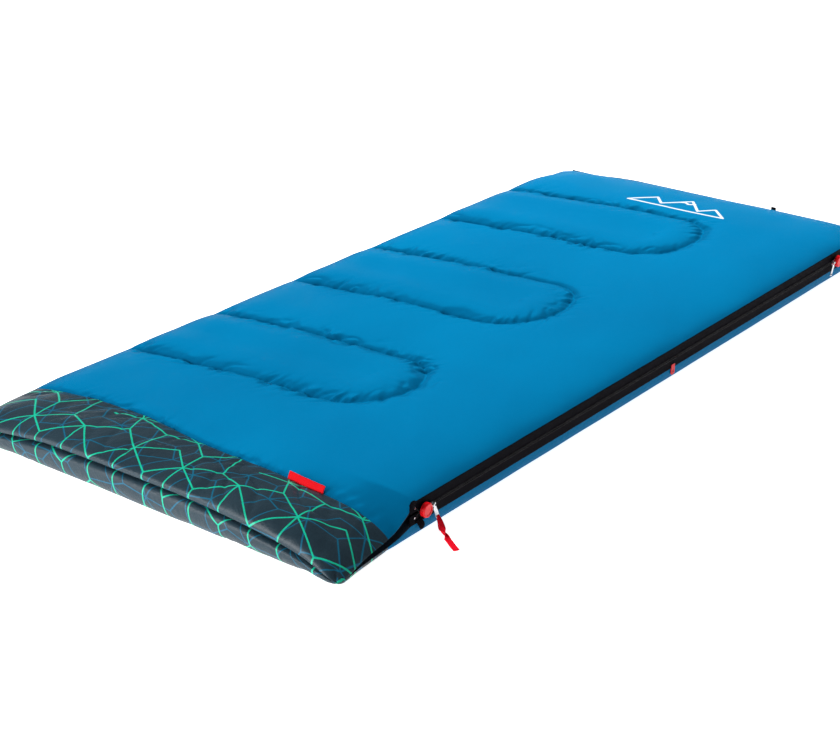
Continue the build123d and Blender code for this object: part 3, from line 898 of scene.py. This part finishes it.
def tape_stitches(name, levels, body):
    """Rows of stitches along a tape, at the given heights."""
    starts, ends = [], []
    s = np.arange(0.004, ZIP_LENGTH - 0.004, TAPE_STITCH)
    x, y, _ = zip_route(s, 0.0004)
    for level_z in levels:
        points = np.stack([x, y, zip_height(level_z, s)], -1)
        gap = 0.16 * (points[1:] - points[:-1])
        starts.append(points[:-1] + gap)
        ends.append(points[1:] - gap)
    piece = rods(name, np.concatenate(starts), np.concatenate(ends), radius=0.0003, sides=4)
    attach(piece, body)
    return piece


tape_rows = [tape_stitches("upper_tape_stitches", (0.0645, 0.0548), "top_quilt"),
             tape_stitches("lower_tape_stitches", (0.0295, 0.0392), "bottom_quilt")]
print("tape stitches:", [len(piece.data.polygons) for piece in tape_rows])

# %% [markdown]
# ## Loose tape ends
# Past the slider the two tapes part. Their ends are turned out and stand away from the quilts as
# two short tabs, one up and one down. Each narrows to a round end, because a cut tape is melted
# round so that it can't fray.

# %% Tape ends
def tape_end(name, route, across_start, across_end, body):
    """A short tab of tape along route, whose half-width vector turns from one direction to another."""
    centre = smooth_line(route, 16)
    share = np.linspace(0, 1, 16)[:, None]
    across = np.array(across_start) * (1 - share) + np.array(across_end) * share
    across = across * np.sqrt(np.clip(1 - np.maximum(share - 0.45, 0) ** 2 / 0.31, 0.02, 1))
    piece = strip(name, centre, across, 0.0010)
    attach(piece, body)


tape_end("upper_tape_end", [(0.4150, -0.7555, 0.0600), (0.4172, -0.7610, 0.0640),
                            (0.4190, -0.7665, 0.0680), (0.4176, -0.7720, 0.0712)],
         (0, 0.0030, 0.0062), (-0.0010, 0.0040, 0.0058), "top_quilt")
tape_end("lower_tape_end", [(0.4152, -0.7490, 0.0340), (0.4185, -0.7465, 0.0280),
                            (0.4200, -0.7440, 0.0210), (0.4188, -0.7430, 0.0150)],
         (0, 0.0062, 0.0020), (0.0008, 0.0064, 0.0010), "bottom_quilt")

# %% [markdown]
# ## The ribbon on the pull
# One length of ribbon goes through the end of the pull and back, and its two ends are sewn
# together. It hangs to the floor with half a twist in each run. The half-width vector of the strip
# turns round the centre line to make the twist.

# %% Ribbon
BAR = np.array([0.4217, -0.705245, 0.0226])
BAR_UP = np.array([0, -0.4067, 0.9135])
front = [(0.4925, -0.7492, 0.0024), (0.4740, -0.7378, 0.0026), (0.4550, -0.7262, 0.0046),
         (0.4400, -0.7165, 0.0112), (0.4310, -0.7100, 0.0190)]
round_bar = [BAR + 0.0020 * (math.cos(a) * np.array([1, 0, 0]) + math.sin(a) * BAR_UP)
             for a in np.radians([55, 110, 180, 250])]
behind = [(0.4262, -0.7072, 0.0150), (0.4335, -0.7118, 0.0086), (0.4480, -0.7212, 0.0040),
          (0.4730, -0.7372, 0.0012), (0.4915, -0.7486, 0.0012)]
line = smooth_line([*front, *round_bar, *behind], 150)
line[:, 2] += 0.0012 * ease(line[:, 0], 0.43, 0.45)
run = np.gradient(line, axis=0)
run /= np.linalg.norm(run, axis=1, keepdims=True)
distance = np.concatenate([[0], np.cumsum(np.linalg.norm(np.diff(line, axis=0), axis=1))])
RIBBON_LENGTH = float(distance[-1])
from_end = np.minimum(distance, RIBBON_LENGTH - distance)
to_bar = ease(from_end, 0.040, 0.080)[:, None]
base = np.array([0.53, 0.848, 0]) * (1 - to_bar) + np.array([0, 0.9135, 0.4067]) * to_bar
base -= (base * run).sum(1, keepdims=True) * run
base /= np.linalg.norm(base, axis=1, keepdims=True)
twist = math.pi * ease(from_end, 0.030, 0.072)
direction = base * np.cos(twist)[:, None] + np.cross(run, base) * np.sin(twist)[:, None]
half_width = 0.0050 - 0.0022 * ease(from_end, 0.065, 0.085)
ribbon = strip("pull_ribbon", line, direction * half_width[:, None], 0.0006)
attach(ribbon, "head_ribbon")
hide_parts("head_pull_ribbon")
print(f"the ribbon is {RIBBON_LENGTH * 1000:.0f} mm long")

# %% [markdown]
# ## The sewn label
# A small woven label has its lower edge caught in the cuff seam and stands up from it. It is blank.
# Its lower edge follows the seam, so it dips where the seam dips.

# %% Label
label_low, label_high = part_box("woven_label")
LABEL_LONG, LABEL_TALL = 0.074, 0.0135
label_middle = (label_low.x + label_high.x) / 2
label_columns = label_middle + np.linspace(-LABEL_LONG / 2, LABEL_LONG / 2, 50)
label_x, up_share = np.meshgrid(label_columns, np.linspace(0, 1, 12))
label_base = top_face(label_x, CUFF_SEAM + 0 * label_x)
label_z = label_base + 0.0004 + 0.0117 * up_share
label_y = CUFF_SEAM + drift(label_x, CUFF_SEAM) - 0.0010 + 0.0062 * up_share ** 1.5
label = mesh_piece("sewn_label", np.stack([label_x, label_y, label_z], -1), grid_faces(12, 50),
                   np.stack([label_x, LABEL_TALL * up_share], -1))
thick = label.modifiers.new("cloth thickness", "SOLIDIFY")
thick.thickness = 0.0008
thick.offset = 0
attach(label, "top_quilt")
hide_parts("woven_label")
print("label on the cuff seam, its middle at x", round(label_middle, 3))

# %% [markdown]
# ## Node helpers
# A procedural material is a small network of shader nodes. Three short helpers keep the cells
# readable: one adds a node and fills its sockets, one adds a Math node and one a Vector Math node.

# %% Node helpers
def node(tree, kind, settings=None, **inputs):
    """A shader node whose sockets, named with underscores for spaces, get values or links."""
    made = tree.nodes.new("ShaderNode" + kind)
    for key, value in (settings or {}).items():
        setattr(made, key, value)
    for key, value in inputs.items():
        fill(tree, made.inputs[key.replace("_", " ")], value)
    return made


def fill(tree, socket, value):
    """Links value to the socket if it is a socket itself, and sets it otherwise."""
    if isinstance(value, bpy.types.NodeSocket):
        tree.links.new(value, socket)
    else:
        socket.default_value = value


def maths(tree, operation, *values, clamp=False):
    """The result of a Math node."""
    made = node(tree, "Math", {"operation": operation, "use_clamp": clamp})
    for socket, value in zip(made.inputs, values):
        fill(tree, socket, value)
    return made.outputs["Value"]


def vectors(tree, operation, *values):
    """The result of a Vector Math node."""
    made = node(tree, "VectorMath", {"operation": operation})
    for socket, value in zip(made.inputs, values):
        fill(tree, socket, value)
    return made.outputs["Value" if operation in ("DOT_PRODUCT", "LENGTH") else "Vector"]


def new_group(name, inputs, outputs):
    """(group, its input sockets, its output sockets). Each entry is a name and a socket type."""
    group = bpy.data.node_groups.new(name, "ShaderNodeTree")
    for label_text, kind in inputs:
        group.interface.new_socket(label_text, in_out="INPUT", socket_type="NodeSocket" + kind)
    for label_text, kind in outputs:
        group.interface.new_socket(label_text, in_out="OUTPUT", socket_type="NodeSocket" + kind)
    return group, group.nodes.new("NodeGroupInput").outputs, group.nodes.new("NodeGroupOutput").inputs


def use(tree, group, **inputs):
    """The outputs of one use of a node group in a tree."""
    made = node(tree, "Group", {"node_tree": group}, **inputs)
    return made.outputs


print("node helpers ready")

# %% [markdown]
# ## Weave
# Weave, rumples and scuffs appear on many pieces at different sizes, so each is a node group with
# its own inputs. A weave is threads that pass over and under each other, which two crossed sine
# waves give without an image.

# %% Weave group
weave_group, given, result = new_group(
    "woven threads", [("Place", "Vector"), ("Thread", "Float")], [("Height", "Float")])
tree = weave_group
turns = vectors(tree, "SCALE", given["Place"])
tree.links.new(maths(tree, "DIVIDE", math.pi, given["Thread"]), turns.node.inputs["Scale"])
split = node(tree, "SeparateXYZ", Vector=turns)
wave = maths(tree, "MULTIPLY", maths(tree, "SINE", split.outputs["X"]),
             maths(tree, "SINE", split.outputs["Y"]))
tree.links.new(maths(tree, "MULTIPLY_ADD", wave, 0.5, 0.5), result["Height"])
print(weave_group.name, len(tree.nodes), "nodes")

# %% [markdown]
# ## Rumples
# Cloth is never quite flat, and its dye and handling leave it a little lighter in some places. Noise
# at two scales gives both: a small one for the height and one six times larger for the patches.

# %% Rumple group
rumple_group, given, result = new_group(
    "cloth rumples", [("Place", "Vector"), ("Size", "Float")], [("Height", "Float"), ("Patch", "Float")])
tree = rumple_group
scale = maths(tree, "DIVIDE", 1.0, given["Size"])
folds = node(tree, "TexNoise", Vector=given["Place"], Scale=scale, Detail=3.0, Roughness=0.55,
             Distortion=0.6)
patch = node(tree, "TexNoise", Vector=given["Place"], Scale=maths(tree, "MULTIPLY", scale, 0.17),
             Detail=2.0)
tree.links.new(folds.outputs["Fac"], result["Height"])
spread = node(tree, "MapRange", Value=patch.outputs["Fac"], From_Min=0.3, From_Max=0.7)
tree.links.new(spread.outputs["Result"], result["Patch"])
print(rumple_group.name, len(tree.nodes), "nodes")

# %% [markdown]
# ## Scuffs
# Hard parts are duller where things rub them. Noise that is stretched along one direction, and cut so
# that only its peaks are left, gives thin streaks.

# %% Scuff group
scuff_group, given, result = new_group(
    "fine scuffs", [("Place", "Vector"), ("Size", "Float")], [("Mask", "Float")])
tree = scuff_group
stretched = vectors(tree, "MULTIPLY", given["Place"], (1.0, 0.15, 1.0))
streaks = node(tree, "TexNoise", Vector=stretched, Scale=maths(tree, "DIVIDE", 1.0, given["Size"]),
               Detail=4.0, Roughness=0.7)
cut = node(tree, "MapRange", Value=streaks.outputs["Fac"], From_Min=0.52, From_Max=0.7)
tree.links.new(cut.outputs["Result"], result["Mask"])
print(scuff_group.name, len(tree.nodes), "nodes")

# %% [markdown]
# ## Drawing lines in a shader
# The print on the cuffs is made of straight lines, and so is the mark at the foot. A line's distance
# can be computed from its middle and half its span. The place is first wrapped into one repeat of
# the pattern, so a short list of lines covers the whole cloth without an image.

# %% Line group
line_group, given, result = new_group(
    "distance to a line",
    [("Place", "Vector"), ("Middle", "Vector"), ("Half", "Vector"), ("Repeat", "Vector")],
    [("Distance", "Float")])
tree = line_group
offset = vectors(tree, "SUBTRACT", given["Place"], given["Middle"])
half_repeat = vectors(tree, "MULTIPLY", given["Repeat"], (0.5, 0.5, 0.5))
less_half = vectors(tree, "MULTIPLY", given["Repeat"], (-0.5, -0.5, -0.5))
near = vectors(tree, "WRAP", offset, half_repeat, less_half)
reach = maths(tree, "DIVIDE", vectors(tree, "DOT_PRODUCT", near, given["Half"]),
              vectors(tree, "DOT_PRODUCT", given["Half"], given["Half"]))
held = maths(tree, "MINIMUM", maths(tree, "MAXIMUM", reach, -1.0), 1.0)
foot_point = vectors(tree, "SCALE", given["Half"])
tree.links.new(held, foot_point.node.inputs["Scale"])
tree.links.new(vectors(tree, "LENGTH", vectors(tree, "SUBTRACT", near, foot_point)), result["Distance"])
print(line_group.name, len(tree.nodes), "nodes")


def nearest_line(tree, place, lines, repeat):
    """The distance to the nearest of lines, each a pair of ends (x, y)."""
    best = None
    for start, end in lines:
        middle = ((start[0] + end[0]) / 2, (start[1] + end[1]) / 2, 0)
        half = ((end[0] - start[0]) / 2, (end[1] - start[1]) / 2, 0)
        found = use(tree, line_group, Place=place, Middle=middle, Half=half, Repeat=repeat)["Distance"]
        best = found if best is None else maths(tree, "MINIMUM", best, found)
    return best


def stroke(tree, distance, width):
    """1 on a line of that width and 0 off it, with a soft edge."""
    return node(tree, "MapRange", {"interpolation_type": "SMOOTHSTEP"}, Value=distance,
                From_Min=width * 0.65, From_Max=width * 0.35).outputs["Result"]


# %% [markdown]
# ## The printed network
# The print is a net of four-sided and five-sided shapes that meet in stars. It starts as a lattice
# of star points with a smaller point in each triangle between them. Every small point is joined to
# its three stars. Then the points are nudged at random and a few lines are left out, so it looks
# drawn and not tiled.

# %% Print network
STAR = 0.120
ACROSS, DOWN = 3, 2
LEFT_OUT = 0.14
REPEAT = (STAR * ACROSS, STAR * math.sqrt(3), 1.0)
draw = np.random.default_rng(5)
star_nudge = draw.uniform(-0.016, 0.016, (ACROSS, DOWN, 2))
small_nudge = draw.uniform(-0.013, 0.013, (ACROSS, DOWN, 2, 2))


def star_point(i, j):
    """Place of a star point of the lattice, nudged alike in every repeat."""
    nudge = star_nudge[(i + (j // DOWN)) % ACROSS, j % DOWN]
    return np.array([STAR * (i + 0.5 * j), STAR * math.sqrt(3) / 2 * j]) + nudge


network = []
for i in range(ACROSS):
    for j in range(DOWN):
        for kind, corners in enumerate((((0, 0), (1, 0), (0, 1)), ((1, 1), (1, 0), (0, 1)))):
            stars = [star_point(i + a, j + b) for a, b in corners]
            small = sum(stars) / 3 + small_nudge[i, j, kind]
            network += [(tuple(small), tuple(star)) for star in stars]
keep_line = draw.uniform(size=len(network)) > LEFT_OUT
network = [line_ends for line_ends, kept in zip(network, keep_line) if kept]
print_group, given, result = new_group("printed network", [("Place", "Vector")], [("Distance", "Float")])
print_group.links.new(nearest_line(print_group, given["Place"], network, REPEAT), result["Distance"])
print("the network has", len(network), "lines in each repeat")

# %% [markdown]
# ## The mark at the foot
# A white mark is printed on the upper quilt near the foot. Here it is three plain mountain peaks on
# a ground line, drawn with the same line group. Its repeat is far larger than the bag, so it shows
# only once.

# %% Foot mark
MARK_X, MARK_Y = 0.0, 0.760
PEAKS = ((-0.124, 0.0), (-0.078, 0.058), (-0.046, 0.018), (0.004, 0.078), (0.052, 0.014),
         (0.080, 0.048), (0.124, 0.0))
SNOW = ((-0.018, 0.052), (-0.004, 0.058), (0.008, 0.050), (0.021, 0.058))
peak_places = [(MARK_X + a, MARK_Y + b) for a, b in PEAKS]
snow_places = [(MARK_X + a, MARK_Y + b) for a, b in SNOW]
mark_lines = [*zip(peak_places[:-1], peak_places[1:]), *zip(snow_places[:-1], snow_places[1:]),
              (peak_places[0], peak_places[-1])]
mark_group, given, result = new_group("foot mark", [("Place", "Vector")], [("Mask", "Float")])
mark_distance = nearest_line(mark_group, given["Place"], mark_lines, (9.0, 9.0, 9.0))
mark_group.links.new(stroke(mark_group, mark_distance, 0.0062), result["Mask"])
print("the mark has", len(mark_lines), "lines")

# %% [markdown]
# ## Cloth materials
# The Principled shader stays in each material. The groups give it a colour that changes a little
# from patch to patch, a roughness, and a height for the Bump node. Sheen adds the pale rim that
# fibres give at a low angle, and it is a plain number, because it is the same all over. On the satin
# a mask from the mesh's own normal paints shade into the base colour: it is darker where the cloth
# turns away from level.

# %% Material helpers
def new_material(name, sheen=0.0, specular=0.5, metallic=0.0, coat=0.0):
    """(material tree, Principled node) with the numbers that don't change over the surface."""
    made = bpy.data.materials.new(name)
    made.use_nodes = True
    tree = made.node_tree
    shader = tree.nodes["Principled BSDF"]
    shader.inputs["Sheen Weight"].default_value = sheen
    shader.inputs["Sheen Roughness"].default_value = 0.45
    shader.inputs["Specular IOR Level"].default_value = specular
    shader.inputs["Metallic"].default_value = metallic
    shader.inputs["Coat Weight"].default_value = coat
    return made, tree, shader


def blend_colours(tree, share, first, second):
    """The mix of two colours, each a tuple or a socket."""
    made = node(tree, "Mix", {"data_type": "RGBA"})
    fill(tree, made.inputs["Factor"], share)
    for socket, value in zip((made.inputs[6], made.inputs[7]), (first, second)):
        fill(tree, socket, (*value, 1.0) if isinstance(value, tuple) else value)
    return made.outputs[2]


def bump(tree, shader, *layers):
    """Chains Bump nodes, each a height and a distance in metres, into the shader's normal."""
    normal = None
    for height, distance in layers:
        made = node(tree, "Bump", Height=height, Distance=distance, Strength=1.0)
        if normal is not None:
            tree.links.new(normal, made.inputs["Normal"])
        normal = made.outputs["Normal"]
    tree.links.new(normal, shader.inputs["Normal"])


def painted_slope_shade(tree, colour, slope_shade_colour):
    """Painted shade: the colour, darkened to the shade colour where the cloth turns from level."""
    # Painted shade: the normal, not a lamp, darkens the colour on slopes.
    facing = node(tree, "SeparateXYZ", Vector=node(tree, "TexCoord").outputs["Normal"]).outputs["Z"]
    level = node(tree, "MapRange", {"interpolation_type": "SMOOTHSTEP"},
                 Value=maths(tree, "ABSOLUTE", facing), From_Min=0.960, From_Max=0.999)
    return blend_colours(tree, level.outputs["Result"], slope_shade_colour, colour)


def cloth(name, dark, light, roughness, thread, rumple_size, rumple_depth, sheen=0.0, specular=0.35,
          place="UV", slope_shade_colour=None):
    """(material, tree, shader, place socket, colour socket) of a woven cloth with rumples."""
    made, tree, shader = new_material(name, sheen, specular)
    spot = node(tree, "TexCoord").outputs[place]
    weave = use(tree, weave_group, Place=spot, Thread=thread)["Height"]
    folds = use(tree, rumple_group, Place=spot, Size=rumple_size)
    patch = folds["Patch"]
    colour = blend_colours(tree, patch, dark, light)
    colour = blend_colours(tree, maths(tree, "MULTIPLY", weave, 0.22), colour, tuple(v * 0.6 for v in dark))
    # Painted shade on slopes, when a shade colour is given.
    colour = painted_slope_shade(tree, colour, slope_shade_colour) if slope_shade_colour else colour
    rough = node(tree, "MapRange", Value=patch, To_Min=roughness - 0.05, To_Max=roughness + 0.06)
    tree.links.new(rough.outputs["Result"], shader.inputs["Roughness"])
    tree.links.new(colour, shader.inputs["Base Color"])
    bump(tree, shader, (folds["Height"], rumple_depth), (weave, thread * 0.12))
    return made, tree, shader, spot, colour


print("material helpers ready")

# %% [markdown]
# ## Shell, lining, stuffing and thread
# The shell is a shiny woven polyester in one strong blue, and the lining a brushed dark cloth that
# hardly shines. Only the upper shell carries the mark at the foot. The edge cloth is the same satin
# without it.

# %% Shell, lining, stuffing and thread
DARK_BLUE, LIGHT_BLUE = (0.0002, 0.178, 0.390), (0.0003, 0.206, 0.436)
# The steep blue is a painted shade colour for the satin's slopes.
PAINTED_SHADE_BLUE, MARK_WHITE = (0.0002, 0.132, 0.294), (0.80, 0.82, 0.84)
SATIN = {"roughness": 0.48, "thread": 0.0005, "rumple_size": 0.07, "rumple_depth": 0.0006,
         "specular": 0.02, "slope_shade_colour": PAINTED_SHADE_BLUE}
shell_cloth, tree, shader, spot, colour = cloth("satin shell cloth", DARK_BLUE, LIGHT_BLUE, **SATIN)
mark = use(tree, mark_group, Place=spot)["Mask"]
tree.links.new(blend_colours(tree, mark, colour, MARK_WHITE), shader.inputs["Base Color"])
plain_shell = cloth("satin edge cloth", DARK_BLUE, LIGHT_BLUE, **SATIN)[0]
lining_cloth = cloth("brushed lining cloth", (0.012, 0.021, 0.034), (0.019, 0.031, 0.048),
                     roughness=0.72, thread=0.0006, rumple_size=0.03, rumple_depth=0.0010,
                     sheen=0.06, specular=0.05)[0]
fibre = cloth("white fibre", (0.72, 0.72, 0.70), (0.86, 0.86, 0.84), roughness=0.9, thread=0.0012,
              rumple_size=0.012, rumple_depth=0.0016, sheen=0.5)[0]
seam_thread = cloth("blue thread", (0.0005, 0.085, 0.19), (0.001, 0.12, 0.26), roughness=0.5,
                    thread=0.0004, rumple_size=0.01, rumple_depth=0.0001, sheen=0.1,
                    place="Object")[0]
print("cloths:", shell_cloth.name, lining_cloth.name, fibre.name, seam_thread.name)

# %% [markdown]
# ## The printed cloth
# Two layers of lines lie on a navy ground. The upper layer is the green net. The lower one is the
# same net, smaller, turned and much fainter, so the print gets depth for no extra work.

# %% Printed cloth
FAINT_BLUE, NET_GREEN = (0.002, 0.125, 0.225), (0.006, 0.50, 0.31)
print_cloth, tree, shader, spot, ground = cloth(
    "printed cuff cloth", (0.013, 0.030, 0.044), (0.024, 0.048, 0.066), roughness=0.40,
    thread=0.0005, rumple_size=0.030, rumple_depth=0.0022, specular=0.3)
green_distance = use(tree, print_group, Place=spot)["Distance"]
turned = node(tree, "VectorRotate", {"rotation_type": "Z_AXIS"}, Vector=spot, Angle=0.62)
smaller = vectors(tree, "MULTIPLY", turned.outputs["Vector"], (1.25, 1.7, 1.0))
moved = vectors(tree, "ADD", smaller, (0.045, 0.071, 0.0))
blue_distance = use(tree, print_group, Place=moved)["Distance"]
fade = maths(tree, "MULTIPLY", stroke(tree, blue_distance, 0.0032), 0.85)
colour = blend_colours(tree, fade, ground, FAINT_BLUE)
colour = blend_colours(tree, stroke(tree, green_distance, 0.0028), colour, NET_GREEN)
tree.links.new(colour, shader.inputs["Base Color"])
print("printed cloth ready")

# %% [markdown]
# ## Tape, webbing, ribbon and label
# These are thick weaves. The strips made above carry a UV map in metres. The webbing tab comes from
# the frame and the tape stitches are rods, so neither has one, and they take their place from the
# object's own coordinates: X and Y added give one number that runs along the side and the foot.

# %% Narrow fabrics
def narrow_cloth(name, dark, light, roughness, thread, depth, sheen=0.0, place="Object"):
    """A coarse weave for tape, webbing, ribbon or label."""
    made, tree, shader = new_material(name, sheen, 0.03)
    spot = node(tree, "TexCoord").outputs[place]
    if place == "Object":
        split = node(tree, "SeparateXYZ", Vector=spot)
        spot = node(tree, "CombineXYZ", X=maths(tree, "ADD", split.outputs["X"], split.outputs["Y"]),
                    Y=split.outputs["Z"]).outputs["Vector"]
    weave = use(tree, weave_group, Place=spot, Thread=thread)["Height"]
    folds = use(tree, rumple_group, Place=spot, Size=0.01)
    shade = maths(tree, "MULTIPLY_ADD", weave, 0.6, maths(tree, "MULTIPLY", folds["Patch"], 0.4))
    tree.links.new(blend_colours(tree, shade, dark, light), shader.inputs["Base Color"])
    rough = node(tree, "MapRange", Value=folds["Height"], To_Min=roughness - 0.08,
                 To_Max=roughness + 0.08)
    tree.links.new(rough.outputs["Result"], shader.inputs["Roughness"])
    bump(tree, shader, (folds["Height"], depth), (weave, thread * 0.2))
    return made


tape_cloth = narrow_cloth("black tape", (0.0012, 0.0011, 0.0022), (0.0046, 0.0040, 0.0068),
                          roughness=0.72, thread=0.0011, depth=0.0002, place="UV")
webbing = narrow_cloth("black webbing", (0.003, 0.003, 0.004), (0.011, 0.011, 0.013),
                       roughness=0.7, thread=0.0014, depth=0.0002, sheen=0.15)
tape_thread = narrow_cloth("black thread", (0.003, 0.003, 0.004), (0.014, 0.014, 0.017),
                           roughness=0.5, thread=0.0005, depth=0.0001, sheen=0.05)
ribbon_cloth = narrow_cloth("red ribbon", (0.72, 0.004, 0.014), (0.92, 0.012, 0.034),
                            roughness=0.42, thread=0.0007, depth=0.0003, place="UV")
label_cloth = narrow_cloth("red label weave", (0.72, 0.004, 0.010), (0.90, 0.012, 0.020),
                           roughness=0.5, thread=0.0006, depth=0.0003, place="UV")
print("narrow fabrics:", tape_cloth.name, webbing.name, ribbon_cloth.name, label_cloth.name)

# %% [markdown]
# ## Plastic and metal
# The guards are glossy moulded plastic with fine scuffs. The sliders and pulls are cast zinc that
# was tumbled, so they are bright but soft, with a faint grain. The coils are plain nylon.

# %% Plastic and metal
def hard_surface(name, dark, light, roughness, grain, depth, metallic=0.0, coat=0.0, specular=0.5):
    """A hard finish with fine scuffs and a grain."""
    made, tree, shader = new_material(name, 0.0, specular, metallic, coat)
    spot = node(tree, "TexCoord").outputs["Object"]
    scuffs = use(tree, scuff_group, Place=spot, Size=grain * 3)["Mask"]
    folds = use(tree, rumple_group, Place=spot, Size=grain)
    tree.links.new(blend_colours(tree, folds["Patch"], dark, light), shader.inputs["Base Color"])
    rough = node(tree, "MapRange", Value=scuffs, To_Min=roughness, To_Max=roughness + 0.22)
    tree.links.new(rough.outputs["Result"], shader.inputs["Roughness"])
    bump(tree, shader, (folds["Height"], depth))
    return made


red_plastic = hard_surface("red moulded plastic", (0.66, 0.001, 0.005), (0.76, 0.003, 0.009),
                           roughness=0.34, grain=0.004, depth=0.00006, coat=0.06, specular=0.25)
zinc = hard_surface("tumbled zinc", (0.42, 0.43, 0.46), (0.66, 0.67, 0.70),
                    roughness=0.26, grain=0.0016, depth=0.00008, metallic=1.0)
nylon = hard_surface("black nylon", (0.004, 0.004, 0.005), (0.012, 0.012, 0.014),
                     roughness=0.42, grain=0.002, depth=0.00003)
print("hard finishes:", red_plastic.name, zinc.name, nylon.name)

# %% [markdown]
# ## Finishes onto pieces
# New pieces get their material as a slot of their mesh. Pieces that come from the frame keep their
# mesh, and only their material slots change. A small bevel catches the light on the edges of the
# hard parts.

# %% Assign
FINISHES = {
    "top_shell_cloth": shell_cloth, "bottom_shell_cloth": plain_shell, "fold_cloth": plain_shell,
    "top_lining_cloth": lining_cloth, "bottom_lining_cloth": lining_cloth,
    "top_cuff_cloth": print_cloth, "bottom_cuff_cloth": print_cloth,
    "top_stuffing": fibre, "bottom_stuffing": fibre,
    "top_quilting_stitches": seam_thread, "bottom_quilting_stitches": seam_thread,
    "zip_coil_lower_winding": nylon, "zip_coil_upper_winding": nylon,
    "upper_tape_stitches": tape_thread, "lower_tape_stitches": tape_thread,
    "upper_tape_end": tape_cloth, "lower_tape_end": tape_cloth,
    "upper_tape_side": tape_cloth, "upper_tape_foot": tape_cloth, "upper_zip_stops": zinc,
    "lower_tape_side": tape_cloth, "lower_tape_foot": tape_cloth, "lower_zip_stops": zinc,
    "pull_ribbon": ribbon_cloth, "sewn_label": label_cloth}
for name, finish in FINISHES.items():
    bpy.data.objects[name].data.materials.append(finish)
FRAME_FINISHES = {
    "head_slider": zinc, "foot_slider": zinc,
    "head_pull": zinc, "foot_pull": zinc, "head_slider_guard": red_plastic,
    "foot_slider_guard": red_plastic, "side_loop": red_plastic, "foot_tab": webbing}
for name, finish in FRAME_FINISHES.items():
    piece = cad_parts[name]
    for slot in piece.material_slots:
        slot.material = finish
    if not piece.material_slots:
        piece.data.materials.append(finish)
    if finish in (zinc, red_plastic):
        edge = piece.modifiers.new("soft edges", "BEVEL")
        edge.width = 0.00018
        edge.segments = 2
        edge.limit_method = "ANGLE"
print(len(FINISHES) + len(FRAME_FINISHES), "pieces have their finish")

# %% [markdown]
# ## The floor
# The bag lies on a plain pale floor, which isn't part of it. A plane with a soft, slightly uneven
# white is enough. It also gives off a little light of its own, so that it stays white out to the
# edges of the view, and it reaches so far that no edge of it shows.

# %% Floor
WIDE = 24
corners = [(-WIDE, -WIDE), (WIDE, -WIDE), (WIDE, WIDE), (-WIDE, WIDE)]
floor = mesh_piece("floor", [(x, y, 0) for x, y in corners], [(0, 1, 2, 3)], corners)
floor.location.z = -0.0006
floor_finish, tree, shader = new_material("pale floor", 0.0, 0.1)
spot = node(tree, "TexCoord").outputs["Object"]
tone = use(tree, rumple_group, Place=spot, Size=0.4)["Patch"]
colour = blend_colours(tree, tone, (0.90, 0.90, 0.90), (0.94, 0.94, 0.94))
tree.links.new(colour, shader.inputs["Base Color"])
shader.inputs["Roughness"].default_value = 0.9
shader.inputs["Emission Color"].default_value = (1, 1, 1, 1)
shader.inputs["Emission Strength"].default_value = 0.95
floor.data.materials.append(floor_finish)
floor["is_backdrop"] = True
print("floor ready")

# %% Finish
size = {"cad": CAD_BOX, "visual": [list(corner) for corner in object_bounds()]}
for end, seen, solid in zip(("low", "high"), size["visual"], CAD_BOX):
    differences = [round((a - b) * 1000, 1) for a, b in zip(seen, solid)]
    print(f"visual model less frame, {end} corner, in mm:", differences)
